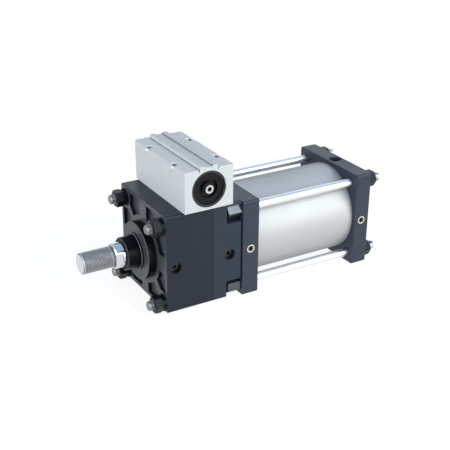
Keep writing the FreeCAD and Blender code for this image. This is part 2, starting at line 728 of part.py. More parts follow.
def tie_rod_parts():
    coupling_mid = cover_front - S.coupling_len / 2
    half_gap = S.free_gap / 2
    split_front = -S.washer_len - S.spring_washer_len
    front_nut = split_front - S.nut_len
    rear_nut = head_back + S.washer_len
    rod_tip = head_back + S.rear_reach
    rods = threaded_bar(S.tie_thread_dia, rod_tip, -S.edge_break, rear_nut + S.nut_len, coupling_mid + half_gap)
    corner_turned("tie_rods", rods)
    corner_hexagons("tie_rod_couplings", coupling_front, S.coupling_len)
    tie_hole = S.tie_thread_dia / 2 + S.fit_gap
    stud_hole = S.stud_dia / 2 + S.fit_gap
    corner_turned("tie_rod_washers", ring(head_back, rear_nut, tie_hole, S.washer_dia / 2))
    corner_hexagons("tie_rod_nuts", rear_nut, S.nut_len)
    studs = threaded_bar(S.stud_dia, -S.stud_reach, S.edge_break, front_nut, coupling_mid - half_gap)
    corner_turned("lock_studs", studs)
    corner_turned("lock_stud_washers", ring(-S.washer_len, 0, stud_hole, S.washer_dia / 2))
    split = ring(split_front, -S.washer_len, stud_hole, S.spring_washer_dia / 2)
    corner_turned("lock_stud_spring_washers", split, S.spring_washer_turn)
    corner_hexagons("lock_stud_nuts", front_nut, S.nut_len)


def gland_parts():
    bush_back = gland_back - S.wiper_len
    bush_front = bush_back - S.gland_bush_len
    wiper_back = -S.nose_reach + S.wiper_len
    collar = nose_radius + S.collar_band
    collar_front = -S.pilot_len - S.collar_len
    bore = rod_radius + S.loose_gap
    turned(
        "rod_gland",
        [
            (-S.nose_reach, wiper_radius),
            (-S.nose_reach, nose_radius - S.edge_break),
            (-S.nose_reach + S.edge_break, nose_radius),
            (collar_front, nose_radius),
            (collar_front, collar - S.cast_edge),
            (collar_front + S.cast_edge, collar),
            (-S.pilot_len, collar),
            (-S.pilot_len, gland_radius),
            (gland_back, gland_radius),
            (gland_back, bore),
            (bush_back, bore),
            (bush_back, gland_bush_radius),
            (bush_front, gland_bush_radius),
            (bush_front, bore),
            (wiper_back, bore),
            (wiper_back, wiper_radius),
        ],
    )
    sliding = rod_radius + S.run_gap
    turned("gland_bush", ring(bush_front, bush_back, sliding, gland_bush_radius - S.fit_gap))
    wiper_edge = wiper_radius - S.fit_gap
    wiper_front = -S.nose_reach + S.free_gap
    lip = (sliding + wiper_edge) / 2
    turned(
        "rod_wiper",
        [
            (wiper_back, sliding + S.free_gap),
            (wiper_front + S.free_gap, sliding + S.free_gap),
            (wiper_front, sliding),
            (wiper_front, lip),
            (wiper_front + S.free_gap, lip),
            (wiper_front + S.free_gap, wiper_edge),
            (wiper_back, wiper_edge),
        ],
    )


def rod_cover_parts():
    sliding = rod_radius + S.run_gap
    seal_back = cover_front + S.seal_len
    turned("rod_seal", ring(cover_front, seal_back, sliding, seal_radius - S.fit_gap))
    turned("rod_bush", ring(seal_back, seal_back + S.bush_len, sliding, bush_radius - S.fit_gap))


def rod_parts():
    tip = -S.rod_reach
    thread_end = tip + S.rod_thread_len
    neck = thread_radius - S.edge_break
    rod = turned(
        "piston_rod",
        [
            (tip, 0),
            (tip, neck),
            (tip + S.edge_break, thread_radius),
            (thread_end - 2 * S.edge_break, thread_radius),
            (thread_end - S.edge_break, neck),
            (thread_end, neck),
            (thread_end, rod_radius - S.edge_break),
            (thread_end + S.edge_break, rod_radius),
            (cushion_front, rod_radius),
            (cushion_front, seat_radius),
            (piston_back, seat_radius),
            (piston_back, nut_thread_radius),
            (piston_back + S.spear_len, nut_thread_radius),
            (piston_back + S.spear_len, 0),
        ],
    )
    flats = rod.draw("XY_Plane", -rod_radius)
    flat = rod_radius - S.rod_flat_deep
    outer = rod_radius + S.free_gap
    for low, high in ((-outer, -flat), (flat, outer)):
        flats.box(thread_end, thread_end + S.rod_flat_len, low, high)
    rod.pocket(flats, S.rod_dia)

    crown = S.bore / 2 - S.loose_gap
    sliding = S.bore / 2 - S.run_gap
    seal_floor = sliding - S.piston_seal_deep
    wear_floor = sliding - S.wear_ring_deep
    middle = piston_front + S.piston_len / 2
    seal_starts = (
        piston_front + S.piston_seal_len,
        piston_back - 2 * S.piston_seal_len,
    )
    wear_start = middle - S.wear_ring_len / 2
    piston = turned("piston", ring(piston_front, piston_back, seat_radius + S.fit_gap, crown))
    grooves = piston.draw("XY_Plane")
    for start in seal_starts:
        grooves.outline(ring(start, start + S.piston_seal_len, seal_floor - S.fit_gap, sliding + S.free_gap))
    grooves.outline(ring(wear_start, wear_start + S.wear_ring_len, wear_floor - S.fit_gap, sliding + S.free_gap))
    piston.groove(grooves)
    seals = [ring(start, start + S.piston_seal_len, seal_floor, sliding) for start in seal_starts]
    turned("piston_seals", *seals)
    turned("wear_ring", ring(wear_start, wear_start + S.wear_ring_len, wear_floor, sliding))
    turned("front_cushion_ring", ring(cushion_front, piston_front, seat_radius + S.fit_gap, cushion_radius))
    nut_back = piston_back + S.spear_len
    nut_bore = nut_thread_radius + S.fit_gap
    turned(
        "piston_nut",
        [
            (piston_back, nut_bore),
            (piston_back, spear_radius),
            (nut_back - S.edge_break, spear_radius),
            (nut_back, spear_radius - S.edge_break),
            (nut_back, nut_bore),
        ],
    )


def release_block():
    piece = Piece("release_block")
    rail_left = block_mid - S.rail_width / 2
    rail_right = block_mid + S.rail_width / 2
    slot_left = block_mid - S.rail_slot_width / 2
    slot_right = block_mid + S.rail_slot_width / 2
    rail_top = block_top + S.rail_height
    slot_floor = rail_top - S.rail_slot_depth
    groove_floor = block_top - S.rail_groove_depth
    section = [
        (block_front, lock_rise),
        (block_back, lock_rise),
        (block_back, block_top),
        (rail_right + S.rail_groove_width, block_top),
        (rail_right + S.rail_groove_width, groove_floor),
        (rail_right, groove_floor),
        (rail_right, rail_top),
        (slot_right, rail_top),
        (slot_right, slot_floor),
        (slot_left, slot_floor),
        (slot_left, rail_top),
        (rail_left, rail_top),
        (rail_left, groove_floor),
        (rail_left - S.rail_groove_width, groove_floor),
        (rail_left - S.rail_groove_width, block_top),
        (block_front, block_top),
    ]
    piece.pad(piece.draw("XZ_Plane", -block_end).outline(section), 2 * block_end)
    bore = piece.draw("XZ_Plane", block_end).circle(block_mid, block_axis, bore_radius)
    piece.pocket(bore, 2 * block_end, forward=False)
    cap_seat = cap_radius + S.fit_gap
    for side in (-1, 1):
        seat = piece.draw("XZ_Plane", side * block_end).circle(block_mid, block_axis, cap_seat)
        piece.pocket(seat, S.cap_recess + S.cap_len, forward=side < 0)
    grooves = piece.draw("XY_Plane", (block_mid, 0, block_axis))
    for side in (-1, 1):
        low, high = side * cap_out, side * (cap_out + S.ring_len)
        grooves.box(cap_seat - S.free_gap, cap_radius + S.ring_deep, low, high)
    piece.groove(grooves, "V_Axis")

    bolts = piece.draw("XY_Plane", block_top)
    sinks = piece.draw("XY_Plane", block_top)
    for x in (bolt_front, bolt_back):
        for side in (-1, 1):
            bolts.circle(x, side * S.bolt_spread / 2, S.bolt_dia / 2 + S.loose_gap)
            sinks.circle(x, side * S.bolt_spread / 2, S.bolt_head_dia / 2 + S.loose_gap)
    piece.pocket(bolts, block_height, forward=False)
    piece.pocket(sinks, S.bolt_sink, forward=False)

    slots = piece.draw("XY_Plane", lock_rise)
    half = arm_width / 2 + S.free_gap
    for side in (-1, 1):
        near, away = side * (tip_in - S.release_travel), side * (tip_out + 2 * S.release_travel)
        slots.box(block_mid - half, block_mid + half, near, away)
    piece.pocket(slots, block_height / 2 - S.block_bore / 4)
    port = piece.draw("YZ_Plane", block_back).circle(0, block_axis, S.release_port_dia / 2)
    piece.pocket(port, block_back - block_mid, forward=False)


def block_bolts():
    piece = Piece("block_bolts")
    seat = block_top - S.bolt_sink
    drawing = piece.draw("XZ_Plane", (bolt_front, 0, S.bolt_spread / 2))
    drawing.outline(
        [
            (0, lock_rise - S.bolt_grip + S.free_gap),
            (S.bolt_dia / 2, lock_rise - S.bolt_grip + S.free_gap),
            (S.bolt_dia / 2, seat),
            (S.bolt_head_dia / 2, seat),
            (S.bolt_head_dia / 2, seat + S.bolt_head_len),
            (0, seat + S.bolt_head_len),
        ]
    )
    step = piece.revolve(drawing, "V_Axis")
    piece.repeat([step], ("X_Axis", bolt_back - bolt_front), ("Y_Axis", S.bolt_spread))


def outward(piece, side):
    """Stand a piece that was turned about X in the block's bore, its X pointing out to one side."""
    piece.place((block_mid, 0, block_axis), 90 * side)


def end_cap(side_name, side):
    o_ring_mid = cap_in + S.cap_len / 2
    groove_half = S.o_ring_wire / 2 + S.run_gap
    groove_floor = cap_radius - S.o_ring_wire
    hub_face = cap_out + S.free_gap
    head_hole = S.screw_head_dia / 2 + S.loose_gap
    screw_hole = S.screw_dia / 2 + S.run_gap
    dish_floor = cap_out - S.cap_dish_depth
    cap = turned(
        side_name + "_end_cap",
        [
            (cap_in, screw_hole),
            (cap_in, cap_radius),
            (o_ring_mid - groove_half, cap_radius),
            (o_ring_mid - groove_half, groove_floor),
            (o_ring_mid + groove_half, groove_floor),
            (o_ring_mid + groove_half, cap_radius),
            (cap_out, cap_radius),
            (cap_out, S.cap_dish_dia / 2),
            (dish_floor, S.cap_dish_dia / 2),
            (dish_floor, S.cap_hub_dia / 2),
            (hub_face, S.cap_hub_dia / 2),
            (hub_face, head_hole),
            (hub_face - S.screw_sink, head_hole),
            (hub_face - S.screw_sink, screw_hole),
        ],
    )
    outward(cap, side)

    head_seat = hub_face - S.screw_sink
    head_face = head_seat + S.screw_head_len
    tip = S.release_start + S.release_crown - S.screw_grip
    screw = turned(
        side_name + "_release_screw",
        [
            (tip, 0),
            (tip, S.screw_dia / 2),
            (head_seat, S.screw_dia / 2),
            (head_seat, S.screw_head_dia / 2),
            (head_face, S.screw_head_dia / 2),
            (head_face, 0),
        ],
    )
    socket = screw.draw("YZ_Plane", head_face).hexagon(as_term(0), as_term(0), S.screw_key)
    screw.pocket(socket, S.screw_head_len / 2, forward=False)
    outward(screw, side)


def release_piston(side_name, side):
    inner = S.release_start
    outer = tip_out + S.release_skirt
    slide = bore_radius - S.run_gap
    floor = slide - S.piston_seal_deep
    seal_start = inner + S.piston_seal_len / 2
    well = spring_radius + S.free_gap
    crown = inner + S.release_crown
    screw_hole = S.screw_dia / 2 + S.run_gap
    piston = turned(
        side_name + "_release_piston",
        [
            (inner, 0),
            (inner, slide - S.loose_gap),
            (seal_start, slide - S.loose_gap),
            (seal_start, floor - S.fit_gap),
            (seal_start + S.piston_seal_len, floor - S.fit_gap),
            (seal_start + S.piston_seal_len, slide),
            (outer, slide),
            (outer, well),
            (crown, well),
            (crown, screw_hole),
            (crown - S.screw_well, screw_hole),
            (crown - S.screw_well, 0),
        ],
    )
    slot = piston.draw("XZ_Plane", bore_radius)
    slot_roof = tip_top - block_axis + S.loose_gap
    slot.box(tip_in - S.loose_gap, tip_out + S.loose_gap, -bore_radius - S.free_gap, slot_roof)
    piston.pocket(slot, S.block_bore, forward=False)
    outward(piston, side)
    seal = turned(
        side_name + "_piston_seal",
        ring(seal_start, seal_start + S.piston_seal_len, floor, slide),
    )
    outward(seal, side)


def brake_spring(side_name, side):
    """A coil from the piston's well to the cap's inner face, its wire inside both ends."""
    inner = S.release_start + S.release_crown
    wire = S.spring_wire / 2
    reach = cap_in - inner - S.spring_wire
    mean = spring_radius - wire
    coil = doc.addObject("Part::Helix", side_name + "_coil")
    bind(coil, "Height", reach)
    bind(coil, "Pitch", reach / S.spring_turns)
    bind(coil, "Radius", mean)
    section = doc.addObject("Part::Circle", side_name + "_wire")
    bind(section, "Radius", wire)
    section.Placement = Placement(Vector(0, 0, 0), Rotation(Vector(1, 0, 0), 90))
    bind(section, "Placement.Base.x", mean)
    doc.recompute()
    spring = doc.addObject("Part::Sweep", side_name + "_brake_spring")
    spring.Sections = [section]
    spring.Spine = (coil, ["Edge1"])
    spring.Solid = True
    spring.Frenet = True
    spring.Placement = Placement(Vector(0, 0, 0), Rotation(Vector(1, 0, 0), -90 * side))
    bind(spring, "Placement.Base.x", block_mid)
    bind(spring, "Placement.Base.y", side * (inner + wire))
    bind(spring, "Placement.Base.z", block_axis)
    nodes.append(spring)


def brake_arm(side_name, side):
    piece = Piece(side_name + "_brake_arm")
    start = block_mid - arm_width / 2
    shoulder = S.shoe_height
    neck = shoulder + S.arm_thick
    lever = [
        (arm_in, -pivot_drop),
        (arm_in, shoulder),
        (tip_in, neck),
        (tip_in, tip_top),
        (tip_out, tip_top),
        (tip_out, -pivot_drop),
    ]
    outline = [(side * y, z) for y, z in lever]
    piece.pad(piece.draw("YZ_Plane", start).outline(outline), arm_width)
    pivot = (side * pivot_out, -pivot_drop)
    piece.pad(piece.draw("YZ_Plane", start).circle(*pivot, S.pivot_boss_dia / 2), arm_width)
    hole = piece.draw("YZ_Plane", start).circle(*pivot, S.pivot_dia / 2 + S.run_gap)
    piece.pocket(hole, arm_width)

    shoe = Piece(side_name + "_brake_shoe")
    shoe_start = block_mid - shoe_width / 2
    faces = (side * shoe_in, side * arm_in)
    block = shoe.draw("YZ_Plane", shoe_start).box(*faces, -S.shoe_height / 2, S.shoe_height / 2)
    shoe.pad(block, shoe_width)
    saddle = shoe.draw("YZ_Plane", shoe_start).circle(0, 0, rod_radius + S.run_gap)
    shoe.pocket(saddle, shoe_width)


def pivot_pins():
    piece = Piece("pivot_pins")
    drawing = piece.draw("XY_Plane", (0, -pivot_out, -pivot_drop))
    front = S.cavity_front - S.pivot_seat
    back = cavity_back + S.pivot_seat
    drawing.outline([(front, 0), (back, 0), (back, S.pivot_dia / 2), (front, S.pivot_dia / 2)])
    step = piece.revolve(drawing)
    piece.repeat([step], ("Y_Axis", 2 * pivot_out))


def cap_fixings():
    rings = Piece("cap_rings")
    drawing = rings.draw("XY_Plane", (block_mid, 0, block_axis))
    seals = Piece("cap_seals")
    sections = seals.draw("XY_Plane", (block_mid, 0, block_axis))
    edge = cap_radius + S.ring_deep - S.fit_gap
    wire = S.o_ring_wire / 2
    for side in (-1, 1):
        drawing.box(edge - S.ring_band, edge, side * cap_out, side * (cap_out + S.ring_len))
        sections.circle(cap_radius - wire, side * (cap_in + S.cap_len / 2), wire)
    rings.revolve(drawing, "V_Axis", S.ring_turn)
    seals.revolve(sections, "V_Axis")


def side_plugs():
    piece = Piece("side_plugs")
    face = -half_lock + S.plug_sink
    drawing = piece.draw("XY_Plane", (S.plug_front, 0, -S.plug_drop))
    radius = S.plug_dia / 2 - S.fit_gap
    drawing.outline([(0, face), (radius, face), (radius, face + S.plug_len), (0, face + S.plug_len)])
    body = piece.revolve(drawing, "V_Axis")
    key = piece.draw("XZ_Plane", -face).hexagon(S.plug_front, -S.plug_drop, S.plug_key)
    socket = piece.pocket(key, S.plug_len / 2, forward=False)
    piece.repeat([body, socket], ("X_Axis", plug_back - S.plug_front), ("XZ_Plane", None))


def needle_parts():
    first = cover_front + S.cover_len / 2
    second = tube_back + S.cover_len / 2
    bushes = Piece("needle_bushes")
    drawing = bushes.draw("XY_Plane", (first, 0, -S.needle_drop))
    bush_inner, bush_outer = S.needle_dia / 2 + S.run_gap, S.needle_bush_dia / 2
    drawing.box(bush_inner, bush_outer, -half_cover, -half_cover + S.needle_bush_len)
    step = bushes.revolve(drawing, "V_Axis")
    bushes.repeat([step], ("X_Axis", second - first))
    for name, x in (("rod_cushion_needle", first), ("head_cushion_needle", second)):
        face = half_cover - S.free_gap
        radius = S.needle_dia / 2
        needle = turned(
            name,
            [
                (half_cover - S.needle_len, 0),
                (half_cover - S.needle_len + radius, radius),
                (face, radius),
                (face, 0),
            ],
        )
        socket = needle.draw("YZ_Plane", face).hexagon(as_term(0), as_term(0), S.needle_key)
        needle.pocket(socket, S.needle_bush_len / 2, forward=False)
        needle.place((x, 0, -S.needle_drop), -90)


front_housing()
rear_housing()
covers()
tube_parts()
tie_rod_parts()
gland_parts()
rod_cover_parts()
rod_parts()
release_block()
block_bolts()
for side_name, side in SIDES:
    end_cap(side_name, side)
    release_piston(side_name, side)
    brake_spring(side_name, side)
    brake_arm(side_name, side)
pivot_pins()
cap_fixings()
side_plugs()
needle_parts()
doc.recompute()

for thing in doc.Objects:
    if {"Invalid", "Error"} & set(thing.State):
        raise RuntimeError(f"{thing.Label} did not build: {thing.State}")
for node in nodes:
    if node.Shape.isNull() or not node.Shape.isValid() or not node.Shape.Solids:
        raise RuntimeError(f"{node.Label} has no sound shape")

os.makedirs("parts", exist_ok=True)
for node in nodes:
    node.Shape.exportStep(f"parts/{node.Label}.step")
    print(node.Label, len(node.Shape.Solids), "solid(s)", round(node.Shape.Volume / 1000, 2), "cm3")
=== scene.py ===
"""Looks of a tie-rod air cylinder with a rod lock: threads, nuts, bolts, springs, finishes and stage."""

import json
import math

import bmesh
import bpy
from mathutils import Matrix, Vector


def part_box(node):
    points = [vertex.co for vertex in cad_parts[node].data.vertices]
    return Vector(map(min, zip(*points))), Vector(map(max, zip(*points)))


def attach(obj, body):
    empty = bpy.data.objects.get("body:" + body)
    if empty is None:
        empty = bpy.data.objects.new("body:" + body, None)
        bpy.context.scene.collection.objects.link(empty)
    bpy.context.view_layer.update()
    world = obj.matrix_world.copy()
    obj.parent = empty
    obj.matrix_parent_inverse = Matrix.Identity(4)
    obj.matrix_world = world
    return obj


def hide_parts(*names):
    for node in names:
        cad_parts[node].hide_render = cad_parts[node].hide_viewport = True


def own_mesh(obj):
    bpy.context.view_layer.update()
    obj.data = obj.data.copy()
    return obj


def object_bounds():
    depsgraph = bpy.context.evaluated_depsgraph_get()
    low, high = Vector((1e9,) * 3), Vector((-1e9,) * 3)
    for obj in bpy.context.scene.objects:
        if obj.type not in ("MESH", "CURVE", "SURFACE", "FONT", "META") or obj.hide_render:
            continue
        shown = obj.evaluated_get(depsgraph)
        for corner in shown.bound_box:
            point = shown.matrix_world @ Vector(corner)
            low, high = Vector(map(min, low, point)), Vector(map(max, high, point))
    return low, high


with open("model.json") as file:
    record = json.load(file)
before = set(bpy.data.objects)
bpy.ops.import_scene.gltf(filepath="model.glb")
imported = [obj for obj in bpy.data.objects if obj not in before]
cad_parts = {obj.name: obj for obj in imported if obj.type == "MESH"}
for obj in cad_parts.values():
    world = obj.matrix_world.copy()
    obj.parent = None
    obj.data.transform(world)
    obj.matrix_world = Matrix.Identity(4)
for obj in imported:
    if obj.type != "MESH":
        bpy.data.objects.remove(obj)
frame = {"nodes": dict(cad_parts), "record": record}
CAD_LOW, CAD_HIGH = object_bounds()

bl_info = {
    "name": "Locking cylinder looks",
    "version": (1, 0, 0),
    "blender": (4, 5, 0),
    "location": "View3D > Sidebar > Cylinder",
    "description": "Threads, nuts, bolts, springs, finishes and stage of a locking air cylinder",
    "category": "Object",
}

MM = 0.001
TURN = 2 * math.pi
MOUNTS = {mount["name"]: mount["dims"] for mount in frame["record"]["mounts"]}
NUT_LOW, NUT_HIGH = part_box("lock_stud_nuts")
BOLT_LOW, BOLT_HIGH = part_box("block_bolts")
BLOCK_LOW, BLOCK_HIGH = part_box("release_block")
CAP_LOW, CAP_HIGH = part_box("near_end_cap")
ROD_LOW, ROD_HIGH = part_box("piston_rod")
CORNER_PITCH = MOUNTS["front_studs"]["spacing_x_mm"] * MM
NUT_ACROSS = NUT_HIGH.z - NUT_LOW.z - CORNER_PITCH
STUD_RADIUS = MOUNTS["front_studs"]["stud_r_mm"] * MM
TIE_RADIUS = MOUNTS["rear_studs"]["stud_r_mm"] * MM
PLAIN_RADIUS = 6.35 * MM
CHAMFER = 1.5 * MM
THREAD_RADIUS = MOUNTS["rod_thread"]["r_mm"] * MM
ROD_END = ROD_LOW.x + MOUNTS["rod_thread"]["length_mm"] * MM + 3 * CHAMFER
FLAT_LENGTH = 11 * MM
RING_SEAT_STEP, NUT_SEAT_STEP = 4 * MM, 5 * MM
NUT_SINK, COUPLING_SINK = 0.8 * MM, 1 * MM
ROWS_A_PITCH = 8
NUT_COLUMNS = 48
COLUMNS_A_KNURL = 6
MERGE = 1e-6
SHARP = math.radians(32)


def size(text, about, default, unit="LENGTH"):
    """A length, or a number of another unit, that a user may change."""
    return bpy.props.FloatProperty(name=text, description=about, default=default, unit=unit, precision=4)


def angle(text, about, degrees):
    return size(text, about, math.radians(degrees), "ROTATION")


def share(text, about, default):
    return bpy.props.FloatProperty(
        name=text, description=about, default=default, subtype="FACTOR", min=0, max=1
    )


def count(text, about, default):
    return bpy.props.IntProperty(name=text, description=about, default=default, min=3)


def colour(text, about, default):
    return bpy.props.FloatVectorProperty(
        name=text, description=about, default=default, subtype="COLOR", size=3, min=0, max=1
    )


class ThreadSizes(bpy.types.PropertyGroup):
    """Threads on the rod, the studs and the tie rods."""

    rod_pitch: size("Rod pitch", "Pitch of the rod's thread", 2 * MM)
    rod_depth: size("Rod depth", "Depth of the rod's thread", 1.2 * MM)
    stud_pitch: size("Stud pitch", "Pitch of the stud and tie rod threads", 2 * MM)
    stud_depth: size("Stud depth", "Depth of the stud and tie rod threads", 1.1 * MM)
    flat_half: size("Flats", "Spanner flats from the rod's axis", 15.5 * MM)
    rod_columns: count("Rod columns", "Faces round the rod", 72)
    stud_columns: count("Stud columns", "Faces round a stud", 36)


class FastenerSizes(bpy.types.PropertyGroup):
    """Nuts, couplings and bolts."""

    across_flats: size("Across flats", "Nuts and couplings across their flats", NUT_ACROSS)
    corner_slope: share("Corner slope", "Slope of the chamfer on a nut's corners", 0.5)
    lower_turn: angle("Lower turn", "How far the lower couplings are turned", 28)
    head_radius: size("Head radius", "Radius of a block bolt's head", 6.5 * MM)
    head_height: size("Head height", "Height of a block bolt's head", 8 * MM)
    shank_radius: size("Shank radius", "Radius of a block bolt's shank", 4 * MM)
    socket_across: size("Socket", "Hexagon socket of a block bolt across its flats", 6 * MM)
    socket_depth: size("Socket depth", "Depth of that socket", 4 * MM)
    knurls: count("Knurls", "Grooves round a bolt's head", 32)


class SpringSizes(bpy.types.PropertyGroup):
    """Brake springs between the release pistons and the end caps."""

    wire_radius: size("Wire radius", "Radius of the wire", 2 * MM)
    turns: size("Turns", "Turns of a coil", 5, "NONE")
    flatter_ends: share("Flatter ends", "How much flatter the end turns lie", 0.35)
    steps: count("Steps", "Rows of faces along the wire", 160)
    sides: count("Sides", "Faces round the wire", 12)


class FinishColours(bpy.types.PropertyGroup):
    """Colours of the finishes."""

    casting: colour("Front housing", "Black anodised housing in front", (0.012, 0.019, 0.033))
    rear_casting: colour("Rear housing", "Black anodised housing behind it", (0.027, 0.041, 0.063))
    cover: colour("Covers", "Black anodised end covers", (0.045, 0.060, 0.088))
    black_steel: colour("Black steel", "Blackened nuts, washers and gland", (0.006, 0.009, 0.014))
    dark_plate: colour("Dark plating", "Couplings", (0.105, 0.12, 0.135))
    plating: colour("Plating", "Studs, screws and pins", (0.60, 0.61, 0.62))
    bright_bar: colour("Tie rods", "Bright drawn tie rods", (0.80, 0.815, 0.82))
    tube: colour("Tube", "Satin cylinder tube", (0.675, 0.692, 0.705))
    block: colour("Release block", "Clear anodised block", (0.885, 0.93, 0.96))
    cap: colour("End caps", "Dark anodised caps", (0.007, 0.0075, 0.009))
    chrome: colour("Rod", "Hard chrome", (0.62, 0.65, 0.68))
    brass: colour("Needles", "Pale brass", (0.88, 0.82, 0.66))
    bronze: colour("Bushes", "Bearing bronze", (0.45, 0.27, 0.11))
    alloy: colour("Pistons", "Turned alloy", (0.70, 0.71, 0.72))
    arm_steel: colour("Brake arms", "Ground steel", (0.30, 0.31, 0.33))
    shoe_iron: colour("Brake shoes", "Cast iron", (0.16, 0.16, 0.165))
    spring_steel: colour("Springs", "Spring wire", (0.40, 0.41, 0.43))
    rubber: colour("Seals", "Black rubber", (0.012, 0.012, 0.012))
    wear_band: colour("Wear ring", "Pale plastic band", (0.62, 0.60, 0.52))


class StageSizes(bpy.types.PropertyGroup):
    """Camera, lamps and floor."""

    lens: size("Lens", "Focal length", 73.28, "CAMERA")
    azimuth: angle("Azimuth", "Camera round the cylinder", -30.55)
    elevation: angle("Elevation", "Camera above the floor", 25.01)
    roll: angle("Roll", "Camera about its view", 0.40)
    place: bpy.props.FloatVectorProperty(
        name="Place", description="Camera's place", subtype="TRANSLATION",
        default=(-0.4857, -1.0454, 0.5724),
    )
    key: size("Key", "Power of the side lamp", 46.5, "POWER")
    key_tint: colour("Key tint", "Colour of the side lamp", (0.985, 0.985, 0.955))
    fill: size("Fill", "Power of the front lamp", 25, "POWER")
    fill_tint: colour("Fill tint", "Colour of the front lamp", (1.0, 1.0, 1.0))
    rim: size("Rim", "Power of the lamp behind", 3, "POWER")
    rim_tint: colour("Rim tint", "Colour of the lamp behind", (0.90, 0.96, 1.0))
    floor: colour("Floor", "Floor", (0.34, 0.34, 0.34))
    floor_glow: share("Floor glow", "How much the floor is lifted to white", 0.86)
    far_glow: share("Far glow", "The same where the lamps don't reach", 0.98)
    sky: share("Sky", "How much the studio lights the cylinder", 0.28)
    horizon: colour("Horizon", "Studio at the floor's edge", (0.93, 0.96, 0.985))
    ceiling: colour("Ceiling", "Studio overhead", (0.38, 0.56, 0.84))


GROUPS = {
    "cylinder_threads": ThreadSizes,
    "cylinder_fasteners": FastenerSizes,
    "cylinder_springs": SpringSizes,
    "cylinder_colours": FinishColours,
    "cylinder_stage": StageSizes,
}


def math_step(operation, is_swapped=False):
    """A method of a wire that adds a math node."""

    def step(self, *others):
        terms = (*others, self) if is_swapped else (self, *others)
        return self.sheet.math(operation, *terms)

    return step


class Wire:
    """An output of a node; arithmetic on it adds math nodes."""

    def __init__(self, sheet, socket):
        self.sheet = sheet
        self.socket = socket

    __add__, __radd__ = math_step("ADD"), math_step("ADD", True)
    __sub__, __rsub__ = math_step("SUBTRACT"), math_step("SUBTRACT", True)
    __mul__, __rmul__ = math_step("MULTIPLY"), math_step("MULTIPLY", True)
    __truediv__, __rtruediv__ = math_step("DIVIDE"), math_step("DIVIDE", True)
    __lt__, __gt__ = math_step("LESS_THAN"), math_step("GREATER_THAN")
    __abs__ = math_step("ABSOLUTE")


class NodeSheet:
    """Adds nodes to one tree and joins them; its items are the tree's named inputs."""

    def __init__(self, tree):
        self.tree = tree

    def __getitem__(self, text):
        return self.wire(self.given, text)

    def give(self, text, value):
        """Send a value to one of the tree's named outputs."""
        self.feed(self.result.inputs[text], value)

    def add(self, kind, inputs=(), **settings):
        node = self.tree.nodes.new(kind)
        row, column = divmod(len(self.tree.nodes), 10)
        node.location = (220 * column, -260 * row)
        for key, value in settings.items():
            setattr(node, key, value)
        for key, value in dict(inputs).items():
            self.feed(node.inputs[key], value)
        return node

    def feed(self, socket, value):
        if isinstance(value, Wire):
            self.tree.links.new(value.socket, socket)
        else:
            socket.default_value = value

    def wire(self, node, key=0):
        return Wire(self, node.outputs[key])

    def wires(self, node):
        return [Wire(self, socket) for socket in node.outputs]

    def math(self, operation, *terms):
        return self.wire(self.add("ShaderNodeMath", enumerate(terms), operation=operation))

    def clamped(self, term):
        return self.wire(self.add("ShaderNodeClamp", {0: term}))

    def vector(self, operation, *terms):
        return self.wire(self.add("ShaderNodeVectorMath", enumerate(terms), operation=operation))

    def split(self, vector):
        return self.wires(self.add("ShaderNodeSeparateXYZ", {0: vector}))

    def combine(self, x, y, z):
        return self.wire(self.add("ShaderNodeCombineXYZ", {0: x, 1: y, 2: z}))

    def round_axis(self, radius, turn):
        """Two coordinates of a point at a radius and an angle."""
        return radius * self.math("COSINE", turn), radius * self.math("SINE", turn)

    def length(self, first, second):
        return self.math("SQRT", first * first + second * second)

    def mix(self, factor, *colours):
        first, second = [rgb if isinstance(rgb, Wire) else (*rgb, 1.0) for rgb in colours]
        node = self.add("ShaderNodeMix", {0: factor, 6: first, 7: second}, data_type="RGBA")
        return self.wire(node, 2)

    def noise(self, point, scale, detail=2.0, roughness=0.5):
        values = {"Vector": point, "Scale": scale, "Detail": detail, "Roughness": roughness}
        return self.wire(self.add("ShaderNodeTexNoise", values))


def open_tree(name, kind, inputs, outputs):
    """A sheet on a new node group, whose sockets are named under the form that they have."""
    tree = bpy.data.node_groups.new(name, kind)
    for way, forms in (("INPUT", inputs), ("OUTPUT", outputs)):
        for form, texts in forms.items():
            for text in texts:
                tree.interface.new_socket(text, in_out=way, socket_type="NodeSocket" + form)
    sheet = NodeSheet(tree)
    sheet.given = sheet.add("NodeGroupInput")
    sheet.result = sheet.add("NodeGroupOutput")
    return sheet


def place_of_point(sheet):
    return sheet.split(sheet.wire(sheet.add("GeometryNodeInputPosition")))


def shape_tree(name, **inputs):
    """A sheet for a rolled shape, and the place of a point of it: share of the way along, and angle."""
    inputs["Material"] = ["Material"]
    sheet = open_tree(name, "GeometryNodeTree", inputs, {"Geometry": ["Shape"]})
    across, around, _ = place_of_point(sheet)
    return sheet, across + 0.5, (around + 0.5) * TURN


def effect_tree(name, outputs, values=(), vectors=()):
    """A sheet for an effect that varies over a surface."""
    inputs = {"Vector": ["Point", *vectors], "Float": values}
    return open_tree(name, "ShaderNodeTree", inputs, {"Float": outputs})


def corner_points(sheet, copies, width, depth, is_upright):
    """Points on a rectangle: in the YZ plane if upright, else in the XY plane."""
    values = {"Size X": width, "Size Y": depth, "Vertices X": copies, "Vertices Y": copies}
    shape = sheet.wire(sheet.add("GeometryNodeMeshGrid", values), "Mesh")
    if is_upright:
        turned = sheet.add("GeometryNodeTransform", {"Geometry": shape, "Rotation": (0, TURN / 4, 0)})
        shape = sheet.wire(turned)
    return shape


